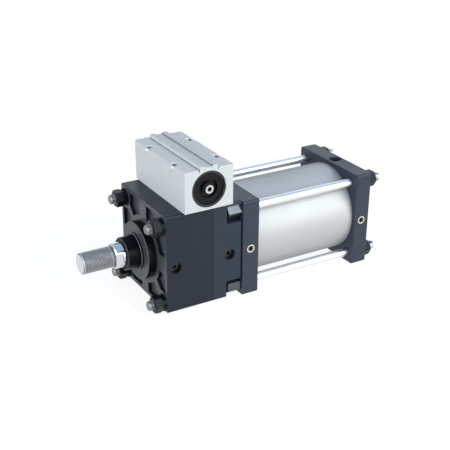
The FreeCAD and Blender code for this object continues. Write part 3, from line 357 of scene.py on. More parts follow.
def close_tree(sheet, points, shape, turn=(0, 0, 0)):
    """Put the shape on each point, make it real, close its seams and give it its material."""
    copied = sheet.add(
        "GeometryNodeInstanceOnPoints", {"Points": points, "Instance": shape, "Rotation": turn}
    )
    real = sheet.add("GeometryNodeRealizeInstances", {"Geometry": sheet.wire(copied)})
    merged = sheet.add("GeometryNodeMergeByDistance", {"Geometry": sheet.wire(real), "Distance": MERGE})
    values = {"Geometry": sheet.wire(merged), "Material": sheet["Material"]}
    sheet.give("Shape", sheet.wire(sheet.add("GeometryNodeSetMaterial", values)))
    return sheet.tree


def rolled(sheet, rows, columns, point):
    """A flat sheet of rows and columns of faces, rolled up so that each point comes to its place."""
    values = {"Size X": 1, "Size Y": 1, "Vertices X": rows, "Vertices Y": columns + 1}
    grid = sheet.wire(sheet.add("GeometryNodeMeshGrid", values), "Mesh")
    return sheet.wire(sheet.add("GeometryNodeSetPosition", {"Geometry": grid, "Position": point}))


def thread_tree():
    """Bars along X: a turned blank, a thread rolled on a stretch of it, and a copy at each corner."""
    sheet, along, turn = shape_tree(
        "threaded_bars",
        Geometry=["Blank"],
        Float=["Start", "Length", "Outside radius", "Depth", "Pitch", "Corner pitch"],
        Int=["Rows", "Columns", "Copies a side"],
    )
    root_width, flank_slope = 1.15, 1.35
    reach = along * sheet["Length"]
    phase = sheet.math("FRACT", reach / sheet["Pitch"] - turn / TURN)
    hollow = sheet.clamped(root_width - abs(phase * 2.0 - 1.0) * flank_slope)
    from_end = sheet.math("MINIMUM", reach, sheet["Length"] - reach)
    fade = sheet.clamped(from_end / sheet["Pitch"])
    radius = sheet["Outside radius"] - sheet["Depth"] * hollow * fade
    point = sheet.combine(sheet["Start"] + reach, *sheet.round_axis(radius, turn))
    joined = sheet.add("GeometryNodeJoinGeometry")
    for part in (sheet["Blank"], rolled(sheet, sheet["Rows"], sheet["Columns"], point)):
        sheet.feed(joined.inputs[0], part)
    pitch = sheet["Corner pitch"]
    points = corner_points(sheet, sheet["Copies a side"], pitch, pitch, True)
    return close_tree(sheet, points, sheet.wire(joined))


def switch(sheet, row, values):
    """The value that belongs to a row's number."""
    node = sheet.add("GeometryNodeIndexSwitch", data_type="FLOAT")
    while len(node.index_switch_items) < len(values):
        node.index_switch_items.new()
    for place, value in enumerate((row, *values)):
        sheet.feed(node.inputs[place], value)
    return sheet.wire(node)


def outline(sheet, along, rows):
    """Radius and height along a turned shape, given as pairs row by row."""
    number = sheet.add("FunctionNodeFloatToInt", {0: along * (len(rows) - 1.0)}, rounding_mode="ROUND")
    return [switch(sheet, sheet.wire(number), values) for values in zip(*rows)]


def hexagon_reach(sheet, turn, across):
    """How far a hexagon reaches at an angle, its corners at 0, 60 degrees and so on."""
    sixth = sheet.math("FLOORED_MODULO", turn, TURN / 6) - TURN / 12
    return across * 0.5 / sheet.math("COSINE", sixth)


def hexagon_tree():
    """Hexagon nuts or couplings along X, one at each corner, chamfered and with a countersunk bore."""
    sheet, along, turn = shape_tree(
        "hexagon_nuts",
        Float=["Start", "Height", "Across flats", "Bore radius", "Countersink", "Corner slope",
               "Lower turn", "Corner pitch"],
        Int=["Columns"],
    )
    crown_share = 0.475
    height, bore, sink = sheet["Height"], sheet["Bore radius"], sheet["Countersink"]
    side = hexagon_reach(sheet, turn, sheet["Across flats"])
    crown = sheet["Across flats"] * crown_share
    drop = (side - crown) * sheet["Corner slope"]
    sunk = bore + sink
    rows = (
        (bore, sink), (sunk, 0.0), (crown, 0.0), (side, drop), (side, height - drop), (crown, height),
        (sunk, height), (bore, height - sink), (bore, sink),
    )
    radius, lift = outline(sheet, along, rows)
    point = sheet.combine(sheet["Start"] + lift, *sheet.round_axis(radius, turn))
    nut = rolled(sheet, len(rows), sheet["Columns"], point)
    points = corner_points(sheet, 2, sheet["Corner pitch"], sheet["Corner pitch"], True)
    _, _, level = place_of_point(sheet)
    return close_tree(sheet, points, nut, sheet.combine((level < 0.0) * sheet["Lower turn"], 0.0, 0.0))


def bolt_tree():
    """Socket-head bolts along Z with knurled heads, one at each corner of a rectangle."""
    sheet, along, turn = shape_tree(
        "socket_bolts",
        Vector=["Centre"],
        Float=["Head radius", "Head height", "Shank radius", "Shank length", "Socket across",
               "Socket depth", "Along", "Aside"],
        Int=["Knurls", "Columns"],
    )
    knurl_depth = 0.018
    head, shank, top = sheet["Head radius"], sheet["Shank radius"], sheet["Head height"]
    foot = 0.0 - sheet["Shank length"]
    bottom = top - sheet["Socket depth"]
    socket = hexagon_reach(sheet, turn, sheet["Socket across"])
    wave = sheet.math("COSINE", turn * sheet["Knurls"])
    grip = head * (1.0 - knurl_depth + knurl_depth * wave)
    rows = (
        (0.0, foot), (shank, foot), (shank, 0.0), (head * 0.96, 0.0), (grip, top * 0.06),
        (grip, top * 0.88), (head * 0.93, top), (sheet["Socket across"] * 0.62, top), (socket, top * 0.96),
        (socket, bottom), (0.0, bottom),
    )
    radius, lift = outline(sheet, along, rows)
    bolt = rolled(sheet, len(rows), sheet["Columns"], sheet.combine(*sheet.round_axis(radius, turn), lift))
    spread = corner_points(sheet, 2, sheet["Along"], sheet["Aside"], False)
    moved = sheet.add("GeometryNodeTransform", {"Geometry": spread, "Translation": sheet["Centre"]})
    return close_tree(sheet, sheet.wire(moved), bolt)


def spring_tree():
    """A coil along Y whose end turns lie flatter, its wire closed at both ends."""
    sheet, along, turn = shape_tree(
        "coil_springs",
        Vector=["Seat"],
        Float=["Length", "Outside radius", "Wire radius", "Turns", "Flatter ends"],
        Int=["Steps", "Sides"],
    )
    thick = sheet["Wire radius"]
    last = sheet["Steps"] - 1.0
    step = along * last
    wire = thick * sheet.clamped(sheet.math("MINIMUM", step, last - step))
    run = sheet.clamped((step - 1.0) / (last - 2.0))
    rise = run - sheet["Flatter ends"] * sheet.math("SINE", run * TURN) / TURN
    out, up = sheet.round_axis(wire, turn)
    x, z = sheet.round_axis(sheet["Outside radius"] - thick + out, run * sheet["Turns"] * TURN)
    point = sheet.combine(x, thick + rise * (sheet["Length"] - thick * 2.0) + up, z)
    coil = rolled(sheet, sheet["Steps"], sheet["Sides"], sheet.vector("ADD", point, sheet["Seat"]))
    return close_tree(sheet, corner_points(sheet, 1, 0, 0, False), coil)


def new_object(name, data):
    piece = bpy.data.objects.new(name, data)
    bpy.context.scene.collection.objects.link(piece)
    return piece


def grown(name, tree, material, sizes, values, blank=None):
    """A plain mesh from a tree, its inputs set by name from the values given or else the sizes."""
    named = {text.replace("_", " ").capitalize(): getattr(sizes, text) for text in sizes.__annotations__}
    named.update(values, Material=material)
    blank = blank or bpy.data.meshes.new("blank")
    piece = new_object(name, blank)
    modifier = piece.modifiers.new("shape", "NODES")
    modifier.node_group = tree
    for item in tree.interface.items_tree:
        if item.in_out == "INPUT" and item.name != "Blank":
            modifier[item.identifier] = named[item.name]
    bpy.context.view_layer.update()
    ready = piece.evaluated_get(bpy.context.evaluated_depsgraph_get())
    mesh = bpy.data.meshes.new_from_object(ready)
    piece.modifiers.clear()
    piece.data = mesh
    bpy.data.meshes.remove(blank)
    mesh.name = name
    work = bmesh.new()
    work.from_mesh(mesh)
    bmesh.ops.remove_doubles(work, verts=work.verts, dist=MERGE)
    bmesh.ops.dissolve_degenerate(work, edges=work.edges, dist=MERGE / 10)
    bmesh.ops.recalc_face_normals(work, faces=work.faces)
    for face in work.faces:
        face.smooth = True
    work.to_mesh(mesh)
    work.free()
    mesh.set_sharp_from_angle(angle=SHARP)
    if not mesh.polygons:
        raise RuntimeError(f"{name} has no faces")
    return piece


def stand_in(piece, node, body):
    """Show a piece in place of a CAD node."""
    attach(piece, body)
    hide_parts(node)


def turned_ring(work, columns, x, radius, flat=math.inf):
    """Points round X at a radius, no further aside than the spanner flats where they cut the bar."""
    ring = []
    for step in range(columns):
        turn = TURN * step / columns
        y, z = radius * math.cos(turn), radius * math.sin(turn)
        ring.append(work.verts.new((x, max(-flat, min(flat, y)), z)))
    return ring


def turned_blank(name, stretches, columns):
    """A turned bar in stretches, closed at its two outer ends and open where a thread comes between."""
    work = bmesh.new()
    ends = []
    for rows in stretches:
        rings = [turned_ring(work, columns, *row) for row in rows]
        for first, second in zip(rings, rings[1:]):
            for step in range(columns):
                after = (step + 1) % columns
                work.faces.new((first[step], first[after], second[after], second[step]))
        ends += [rings[0], rings[-1]]
    work.faces.new(reversed(ends[0]))
    work.faces.new(ends[-1])
    mesh = bpy.data.meshes.new(name)
    work.to_mesh(mesh)
    work.free()
    return mesh


def threaded(name, nose, body, material, sizes, kind, copies):
    """Bars with a thread between two turned stretches, as many a side as there are copies."""
    first, radius = nose[-1]
    last = body[0][0]
    length = abs(last - first)
    pitch, depth, columns = [getattr(sizes, f"{kind}_{text}") for text in ("pitch", "depth", "columns")]
    values = {
        "Start": min(first, last), "Length": length, "Outside radius": radius, "Depth": depth,
        "Pitch": pitch, "Rows": int(length / pitch * ROWS_A_PITCH) + 1, "Columns": columns,
        "Copies a side": copies, "Corner pitch": CORNER_PITCH,
    }
    tree = bpy.data.node_groups.get("threaded_bars") or thread_tree()
    return grown(name, tree, material, sizes, values, turned_blank(name, [nose, body], columns))


def surface_grain():
    """Fine grain and slow mottling of a surface."""
    sheet = effect_tree("surface_grain", ["Fine", "Mottle"], values=["Size"])
    scale = 1.0 / sheet["Size"]
    sheet.give("Fine", sheet.noise(sheet["Point"], scale, 3.0, 0.6))
    sheet.give("Mottle", sheet.noise(sheet["Point"], scale * 0.045, 4.0, 0.55))
    return sheet.tree


def drawn_lines():
    """Lines left by drawing, extruding or grinding, stretched by a spread given for each axis."""
    sheet = effect_tree("drawn_lines", ["Lines"], vectors=["Spread"])
    stretched = sheet.vector("MULTIPLY", sheet["Point"], sheet["Spread"])
    sheet.give("Lines", sheet.noise(stretched, 1.0, 4.0, 0.7))
    return sheet.tree


def turning_rings():
    """Rings left by turning, about an axis through a centre."""
    sheet = effect_tree("turning_rings", ["Rings", "Radius"], ["Pitch"], ["Centre", "Across"])
    arm = sheet.vector("SUBTRACT", sheet["Point"], sheet["Centre"])
    arm = sheet.vector("MULTIPLY", arm, sheet["Across"])
    radius = sheet.wire(sheet.add("ShaderNodeVectorMath", {0: arm}, operation="LENGTH"), "Value")
    wander = sheet.noise(sheet["Point"], 0.35)
    wave = sheet.math("SINE", radius / sheet["Pitch"] * TURN + wander * 1.5)
    sheet.give("Rings", wave * 0.5 + 0.5)
    sheet.give("Radius", radius)
    return sheet.tree


def rubbed_edges():
    """Paler edges of a block between two corners: partly rubbed wear, partly painted highlight."""
    sheet = effect_tree("rubbed_edges", ["Rub"], ["Width"], ["Low", "High"])
    from_low = sheet.vector("SUBTRACT", sheet["Point"], sheet["Low"])
    from_high = sheet.vector("SUBTRACT", sheet["High"], sheet["Point"])
    inside = sheet.split(sheet.vector("MINIMUM", from_low, from_high))
    x, y, z = [sheet.clamped(1.0 - depth / sheet["Width"]) for depth in inside]
    edge = sheet.math("MAXIMUM", sheet.math("MAXIMUM", x * y, y * z), x * z)
    broken = sheet.clamped(sheet.noise(sheet["Point"], 0.22, 5.0, 0.7) * 3.2 - 1.1)
    sheet.give("Rub", sheet.clamped(edge * 1.6) * broken)
    return sheet.tree


def worn_rim():
    """The paler rim of a piece turned about X, at a place along it where it reaches out to a radius:
    partly wear, partly painted highlight.
    """
    sheet = effect_tree("worn_rim", ["Rim"], values=["Place", "Reach", "Width"])
    x, y, z = sheet.split(sheet["Point"])
    along = sheet.clamped(1.0 - abs(x - sheet["Place"]) / sheet["Width"])
    outward = sheet.clamped(1.0 - abs(sheet.length(y, z) - sheet["Reach"]) / sheet["Width"])
    broken = sheet.clamped(sheet.noise(sheet["Point"], 0.3, 4.0, 0.6) * 2.6 - 0.5)
    sheet.give("Rim", sheet.clamped(along * outward * 1.8) * broken)
    return sheet.tree


def handling_marks():
    """Handling marks: soft patches where the gloss changes."""
    sheet = effect_tree("handling_marks", ["Marks"], values=["Size"])
    soft = sheet.noise(sheet["Point"], 1.0 / sheet["Size"], 5.0, 0.62)
    sheet.give("Marks", sheet.clamped(soft * 2.4 - 0.7))
    return sheet.tree


def shade(rgb, factor):
    return tuple(min(1.0, part * factor) for part in rgb)


def clear_sheet(holder):
    """An empty sheet for a material or a world."""
    holder.use_nodes = True
    holder.node_tree.nodes.clear()
    return NodeSheet(holder.node_tree)


class Finish:
    """One material: a Principled shader whose colour, gloss and relief vary over the surface.

    Sizes and depths are in millimetres. Gloss is the roughness beside the handling marks and on them, fine
    is the depth of the grain, and rings and lines end with what a tool leaves.
    """

    def __init__(
        self, name, rgb, mottle, grain, gloss, marks=40, fine=0.0, rings=(), lines=(), metallic=0,
        specular=0.5,
    ):
        self.material = bpy.data.materials.new(name)
        self.sheet = sheet = clear_sheet(self.material)
        values = {"Metallic": metallic, "Specular IOR Level": specular}
        self.shader = sheet.add("ShaderNodeBsdfPrincipled", values)
        sheet.add("ShaderNodeOutputMaterial", {"Surface": sheet.wire(self.shader)})
        metres = sheet.wire(sheet.add("ShaderNodeTexCoord"), "Object")
        scaled = sheet.add("ShaderNodeVectorMath", {0: metres, "Scale": 1 / MM}, operation="SCALE")
        self.point = sheet.wire(scaled)
        grains, slow = self.effect(surface_grain, size=grain)
        (patches,) = self.effect(handling_marks, size=marks)
        low, high = gloss
        self.colour = sheet.mix(slow, shade(rgb, 1 - mottle), shade(rgb, 1 + mottle))
        self.rough = low + (high - low) * patches
        self.heights = [grains * fine] if fine else []
        if rings:
            centre, across, pitch, *left = rings
            pattern, self.radius = self.effect(turning_rings, centre=centre, across=across, pitch=pitch)
            self.tool(pattern, *left)
        if lines:
            spread, *left = lines
            (pattern,) = self.effect(drawn_lines, spread=spread)
            self.tool(pattern, *left)

    def effect(self, group, **inputs):
        tree = bpy.data.node_groups.get(group.__name__) or group()
        values = {key.capitalize(): value for key, value in inputs.items()}
        node = self.sheet.add("ShaderNodeGroup", {"Point": self.point, **values}, node_tree=tree)
        return self.sheet.wires(node)

    def tool(self, pattern, depth, gloss=0.08):
        """What a tool leaves: a pattern of some depth that changes the gloss."""
        self.heights.append(pattern * depth)
        self.rough = self.rough + (pattern - 0.5) * gloss

    def tint(self, mask, rgb, rougher=0.0):
        """Another colour, and another gloss, where a mask is 1."""
        self.colour = self.sheet.mix(mask, self.colour, rgb)
        if rougher:
            self.rough = self.rough + mask * rougher

    def rub(self, low, high, rgb, width=1.2, amount=0.6):
        """Paler, glossier edges on a block between two corners: partly rubbed wear, partly painted
        highlight.
        """
        (edge,) = self.effect(rubbed_edges, low=low / MM, high=high / MM, width=width)
        self.tint(edge * amount, rgb, -0.1)

    def rim(self, place, reach, rgb, amount=0.8):
        """A paler rim on a turned piece: partly wear, partly painted highlight."""
        (edge,) = self.effect(worn_rim, place=place, reach=reach, width=0.9)
        self.tint(edge * amount, rgb)

    def done(self):
        self.sheet.feed(self.shader.inputs["Base Color"], self.colour)
        self.sheet.feed(self.shader.inputs["Roughness"], self.sheet.clamped(self.rough))
        total = sum(self.heights[1:], self.heights[0])
        bump = self.sheet.add("ShaderNodeBump", {"Height": total, "Strength": 1.0, "Distance": MM})
        self.sheet.feed(self.shader.inputs["Normal"], self.sheet.wire(bump))
        return self.material


# In millimetres, as the finishes are.
ROD_AXIS = ((0, 0, 0), (0, 1, 1))
CAP_CENTRE = ((CAP_LOW.x + CAP_HIGH.x) / 2 / MM, 0, (CAP_LOW.z + CAP_HIGH.z) / 2 / MM)
CAP_AXIS = (CAP_CENTRE, (1, 0, 1))
PILOT_LENGTH, PILOT_RADIUS = MOUNTS["pilot_boss"]["length_mm"], MOUNTS["pilot_boss"]["r_mm"]
POCKET_DEPTH = 5.5
FRONT_LEVELS = (-PILOT_LENGTH, 0.0, POCKET_DEPTH)
# Colour of the paler rims: partly wear, partly painted highlight.
PALE_RIM = (0.34, 0.35, 0.36)
CASTINGS = {
    "front_housing": "casting",
    "rear_housing": "rear_casting",
    "rod_cover": "cover",
    "head_cover": "cover",
}
# Painted shade on the rail, in its channel, its grooves and along lines on its top: distance from its
# middle, width, depths of its upper and lower end, and amount.
RAIL_PAINTED_SHADE = (
    (6.0, 0.9, 0.4, 2.3, 0.55),
    (6.6, 0.4, -0.1, 0.1, 0.35),
    (10.2, 0.45, -0.1, 0.1, 0.3),
    (14.5, 1.4, 4.3, 7.3, 0.85),
)


def casting_finish(node, colours):
    """Black casting with paler edges, partly rubbed wear and partly painted highlight, but not where the
    two housings meet.
    """
    low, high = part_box(node)
    joint_reach = 10 * MM
    if node == "front_housing":
        high.x += joint_reach
    if node == "rear_housing":
        low.x -= joint_reach
    look = Finish(
        "casting_" + node, getattr(colours, CASTINGS[node]), mottle=0.16, grain=0.9, gloss=(0.34, 0.46),
        fine=0.035, specular=0.3,
    )
    look.rub(low, high, (0.16, 0.165, 0.175))
    if node == "front_housing":
        machined_front(look, high.y / MM)
    return look.done()


def machined_front(look, half):
    """Painted sheen: the ribs and pocket floors that face the front painted paler. A pilot disc that is
    smoother and blacker, with a paler rim, partly wear and partly painted highlight.
    """
    x, y, z = look.sheet.split(look.point)
    # Painted sheen: the faces towards the front, where the light falls, are painted paler.
    painted_sheen_faces = sum(abs(x - level) < 0.25 for level in FRONT_LEVELS)
    look.tint(painted_sheen_faces * (abs(y) < half - 0.3), (0.070, 0.075, 0.088))
    disc = (x < -0.3) * (x > 0.3 - PILOT_LENGTH) * (look.sheet.length(y, z) > PILOT_RADIUS - 1.0)
    look.tint(disc, (0.004, 0.005, 0.007), -0.12)
    look.rim(-PILOT_LENGTH, PILOT_RADIUS, PALE_RIM)


def gland_finish(colours):
    """Blackened gland, turned, with paler rims on its nose and its collar: partly wear, partly painted
    highlight.
    """
    look = Finish(
        "gland_black", shade(colours.black_steel, 0.6), mottle=0.2, grain=0.6, gloss=(0.24, 0.36),
        rings=(*ROD_AXIS, 0.5, 0.01), lines=((2.4, 0.05, 0.05), 0.02), specular=0.1,
    )
    low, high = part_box("rod_gland")
    look.rim(low.x / MM + 0.75, high.z / MM - 3.75, (0.20, 0.21, 0.22), amount=0.6)
    look.rim(-PILOT_LENGTH - 2.6, high.z / MM - 0.4, PALE_RIM)
    return look.done()


def nut_finish(colours):
    return Finish(
        "nut_black", colours.black_steel, mottle=0.3, grain=0.5, gloss=(0.26, 0.42), marks=9, fine=0.02,
        metallic=0.1, specular=0.18,
    ).done()


def coupling_finish(colours):
    return Finish(
        "coupling_dark", colours.dark_plate, mottle=0.18, grain=0.5, gloss=(0.22, 0.32), marks=12,
        fine=0.003, lines=((0.05, 0.6, 0.6), 0.006), metallic=0.9,
    ).done()


def plate_finish(name, colours, factor=1.0, gloss=(0.22, 0.36)):
    return Finish(
        name, shade(colours.plating, factor), mottle=0.1, grain=0.4, gloss=gloss, marks=9, fine=0.01,
        metallic=1,
    ).done()


def tie_rod_finish(colours):
    return Finish(
        "tie_rod_bright", colours.bright_bar, mottle=0.04, grain=0.5, gloss=(0.28, 0.38),
        lines=((0.03, 2.2, 2.2), 0.008, 0.06), metallic=1,
    ).done()


def tube_finish(colours):
    look = Finish(
        "tube_satin", colours.tube, mottle=0.025, grain=0.35, gloss=(0.46, 0.53), marks=60, fine=0.004,
        lines=((0.02, 1.6, 1.6), 0.01, 0.05), metallic=0.3, specular=0,
    )
    look.shader.inputs["Specular Tint"].default_value = (0.12, 0.13, 0.15, 1.0)
    return look.done()


def block_finish(colours):
    """Clear anodised extrusion, with paler edges, partly rubbed wear and partly painted highlight, and
    painted shade in the corners of the rail's channel, in its grooves and along lines on its top.
    """
    look = Finish(
        "block_satin", colours.block, mottle=0.03, grain=0.3, gloss=(0.42, 0.52), marks=50, fine=0.006,
        lines=((1.3, 0.02, 1.3), 0.012, 0.05), metallic=0.05, specular=0.08,
    )
    look.rub(BLOCK_LOW, BLOCK_HIGH, (0.93, 0.94, 0.95), 0.8, 0.5)
    x, y, z = look.sheet.split(look.point)
    aside = abs(x - CAP_CENTRE[0])
    inside = abs(y) < BLOCK_HIGH.y / MM - 0.2
    top = BLOCK_HIGH.z / MM
    # Painted shade in the rail's channel and grooves, and dark lines painted along its top.
    for half, width, high, low, amount in RAIL_PAINTED_SHADE:
        level = (z < top - high) * (z > top - low)
        near = look.sheet.clamped(1.4 - abs(aside - half) / width)
        look.tint(near * level * inside * amount, (0.05, 0.055, 0.065))
    return look.done()


def cap_finish(colours):
    return Finish(
        "cap_black", colours.cap, mottle=0.2, grain=0.5, gloss=(0.3, 0.4), marks=20,
        rings=(*CAP_AXIS, 0.9, 0.02, 0.12), specular=0.18,
    ).done()


def release_screw_finish(colours):
    """Plated screw whose hexagon socket is painted dark inside: painted shade in the recess."""
    look = Finish(
        "release_screw_plated", colours.plating, mottle=0.08, grain=0.4, gloss=(0.18, 0.28), marks=9,
        rings=(*CAP_AXIS, 0.4, 0.01), metallic=1,
    )
    _, y, _ = look.sheet.split(look.point)
    face = -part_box("near_release_screw")[0].y / MM
    # Painted shade: the socket's walls and floor painted near black.
    socket = (abs(y) < face - 0.15) * (look.radius < 3.6)
    look.tint(socket, (0.02, 0.02, 0.02), 0.3)
    return look.done()


def rod_finish(colours):
    """Chrome on the rod, duller and darker on its thread, with painted shade in the thread's hollows."""
    look = Finish(
        "rod_chrome", colours.chrome, mottle=0.03, grain=0.4, gloss=(0.10, 0.16), marks=30,
        lines=((2.0, 0.05, 0.05), 0.004, 0.03), metallic=1,
    )
    x, y, z = look.sheet.split(look.point)
    radius = look.sheet.length(y, z)
    outside = THREAD_RADIUS / MM
    threaded_end = (x < ROD_END / MM) * (radius > outside - 1.6)
    # Painted shade, darker the deeper in the thread's hollows.
    hollow = look.sheet.clamped((outside - radius) * 1.2) * threaded_end
    look.tint(threaded_end * 0.34 + hollow * 0.4, (0.17, 0.165, 0.17))
    look.rough = look.rough + threaded_end * 0.4
    return look.done()


def brass_finish(colours):
    return Finish(
        "needle_bush_brass", colours.brass, mottle=0.08, grain=0.4, gloss=(0.18, 0.3), marks=6, fine=0.008,
        metallic=1,
    ).done()


def turned_metal_finish(name, rgb, axis):
    return Finish(
        name, rgb, mottle=0.06, grain=0.4, gloss=(0.24, 0.36), marks=25, rings=(*axis, 0.6, 0.012),
        metallic=1,
    ).done()


def ground_steel_finish(name, rgb, gloss, spread, metallic=1):
    return Finish(
        name, rgb, mottle=0.12, grain=0.6, gloss=gloss, marks=20, fine=0.02, lines=(spread, 0.02),
        metallic=metallic,
    ).done()


def soft_finish(name, rgb, gloss):
    return Finish(name, rgb, mottle=0.15, grain=0.4, gloss=gloss, marks=8, fine=0.015).done()


def wear(material, *nodes):
    """Give CAD nodes a material in place of their plain one."""
    for node in nodes:
        slots = frame["nodes"][node].material_slots
        if not slots:
            raise RuntimeError(f"{node} has no material slot")
        for slot in slots:
            slot.material = material


class CYLINDER_OT_castings(bpy.types.Operator):
    """Finish the lock's housings and the cylinder's covers"""

    bl_idname = "cylinder.castings"
    bl_label = "Castings"

    def execute(self, context):
        for node in CASTINGS:
            wear(casting_finish(node, context.scene.cylinder_colours), node)
        return {"FINISHED"}


class CYLINDER_OT_tube(bpy.types.Operator):
    """Finish the cylinder tube"""

    bl_idname = "cylinder.tube"
    bl_label = "Tube"

    def execute(self, context):
        wear(tube_finish(context.scene.cylinder_colours), "cylinder_tube")
        return {"FINISHED"}


class CYLINDER_OT_release_block(bpy.types.Operator):
    """Finish the release block, its caps, rings and screws"""

    bl_idname = "cylinder.release_block"
    bl_label = "Release block"

    def execute(self, context):
        colours = context.scene.cylinder_colours
        wear(block_finish(colours), "release_block")
        wear(cap_finish(colours), "near_end_cap", "far_end_cap")
        wear(plate_finish("ring_steel", colours, 0.09, (0.3, 0.42)), "cap_rings")
        wear(release_screw_finish(colours), "near_release_screw", "far_release_screw")
        return {"FINISHED"}


class CYLINDER_OT_block_bolts(bpy.types.Operator):
    """Make the socket-head bolts of the release block"""

    bl_idname = "cylinder.block_bolts"
    bl_label = "Block bolts"

    def execute(self, context):
        sizes = context.scene.cylinder_fasteners
        seat = BOLT_HIGH.z - sizes.head_height
        centre = (BOLT_LOW + BOLT_HIGH) / 2
        head = 2 * sizes.head_radius
        values = {
            "Centre": (centre.x, centre.y, seat), "Shank length": seat - BOLT_LOW.z,
            "Columns": COLUMNS_A_KNURL * sizes.knurls,
            "Along": BOLT_HIGH.x - BOLT_LOW.x - head, "Aside": BOLT_HIGH.y - BOLT_LOW.y - head,
        }
        material = plate_finish("bolt_plated", context.scene.cylinder_colours, 0.9)
        bolts = grown("socket_bolts", bolt_tree(), material, sizes, values)
        stand_in(bolts, "block_bolts", "frame")
        return {"FINISHED"}


class CYLINDER_OT_hexagons(bpy.types.Operator):
    """Make the nuts at both ends and the tie rod couplings"""

    bl_idname = "cylinder.hexagons"
    bl_label = "Nuts and couplings"

    def execute(self, context):
        sizes = context.scene.cylinder_fasteners
        colours = context.scene.cylinder_colours
        tree = hexagon_tree()
        black = nut_finish(colours)
        dark = coupling_finish(colours)
        rows = (
            ("front_nuts", "lock_stud_nuts", black, STUD_RADIUS, NUT_SINK, 0.0),
            ("rear_nuts", "tie_rod_nuts", black, TIE_RADIUS, NUT_SINK, 0.0),
            ("rod_couplings", "tie_rod_couplings", dark, STUD_RADIUS, COUPLING_SINK, sizes.lower_turn),
        )
        for name, node, material, bore, sink, lower_turn in rows:
            low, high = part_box(node)
            values = {
                "Start": low.x, "Height": high.x - low.x, "Bore radius": bore, "Countersink": sink,
                "Lower turn": lower_turn, "Columns": NUT_COLUMNS, "Corner pitch": CORNER_PITCH,
            }
            piece = grown(name, tree, material, sizes, values)
            stand_in(piece, node, "frame")
        wear(black, "lock_stud_washers", "lock_stud_spring_washers", "tie_rod_washers")
        return {"FINISHED"}


class CYLINDER_OT_bars(bpy.types.Operator):
    """Make the threaded lock studs and tie rods"""

    bl_idname = "cylinder.bars"
    bl_label = "Studs and tie rods"

    def execute(self, context):
        sizes = context.scene.cylinder_threads
        colours = context.scene.cylinder_colours
        zinc = plate_finish("stud_zinc", colours, 0.4, (0.38, 0.5))
        bright = tie_rod_finish(colours)
        stud_low, stud_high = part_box("lock_studs")
        tie_low, tie_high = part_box("tie_rods")
        nuts_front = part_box("tie_rod_nuts")[0].x
        rows = (
            ("threaded_studs", "lock_studs", zinc, "dark_plated_steel", STUD_RADIUS,
             stud_low.x, NUT_HIGH.x, stud_high.x),
            ("threaded_tie_rods", "tie_rods", bright, "plated_steel", TIE_RADIUS,
             tie_high.x, nuts_front, tie_low.x),
        )
        for name, node, material, slot, radius, tip, neck, far in rows:
            step = math.copysign(CHAMFER, neck - tip)
            nose = [(tip, radius - CHAMFER), (tip + step, radius)]
            body = [(neck - step, radius), (neck, radius), (neck, PLAIN_RADIUS), (far, PLAIN_RADIUS)]
            piece = threaded(name, nose, body, material, sizes, "stud", 2)
            stand_in(piece, node, "frame")
        return {"FINISHED"}


class CYLINDER_OT_rod(bpy.types.Operator):
    """Make the piston rod with its thread and spanner flats, and finish its gland and wiper"""

    bl_idname = "cylinder.rod"
    bl_label = "Piston rod"

    def execute(self, context):
        sizes = context.scene.cylinder_threads
        colours = context.scene.cylinder_colours
        tip, back, rod = ROD_LOW.x, ROD_HIGH.x, ROD_HIGH.z
        neck, flat = THREAD_RADIUS - CHAMFER, sizes.flat_half
        flat_end = ROD_END + FLAT_LENGTH
        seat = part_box("front_cushion_ring")[0].x
        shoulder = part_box("piston")[1].x
        ring_seat, nut_seat = rod - RING_SEAT_STEP, rod - NUT_SEAT_STEP
        nose = [(tip, neck), (tip + CHAMFER, THREAD_RADIUS)]
        body = [
            (ROD_END - 2 * CHAMFER, THREAD_RADIUS), (ROD_END - CHAMFER, neck), (ROD_END, neck),
            (ROD_END, rod - CHAMFER, flat), (ROD_END + CHAMFER, rod, flat), (flat_end, rod, flat),
            (flat_end, rod), (seat, rod), (seat, ring_seat), (shoulder, ring_seat), (shoulder, nut_seat),
            (back, nut_seat),
        ]
        piece = threaded("threaded_rod", nose, body, rod_finish(colours), sizes, "rod", 1)
        stand_in(piece, "piston_rod", "rod")
        wear(gland_finish(colours), "rod_gland")
        wear(soft_finish("wiper_rubber", colours.rubber, (0.45, 0.6)), "rod_wiper")
        return {"FINISHED"}


class CYLINDER_OT_side_fittings(bpy.types.Operator):
    """Finish the plugs in the lock's sides and the cushion needles in the covers"""

    bl_idname = "cylinder.side_fittings"
    bl_label = "Plugs and needles"

    def execute(self, context):
        colours = context.scene.cylinder_colours
        needle = plate_finish("needle_dark", colours, 0.2, (0.3, 0.42))
        # Plugs darkened far below the plating: partly a dark finish, partly painted shade of their deep
        # holes.
        wear(plate_finish("plug_plated", colours, 0.08, (0.16, 0.26)), "side_plugs")
        wear(brass_finish(colours), "needle_bushes")
        wear(needle, "rod_cushion_needle", "head_cushion_needle")
        return {"FINISHED"}


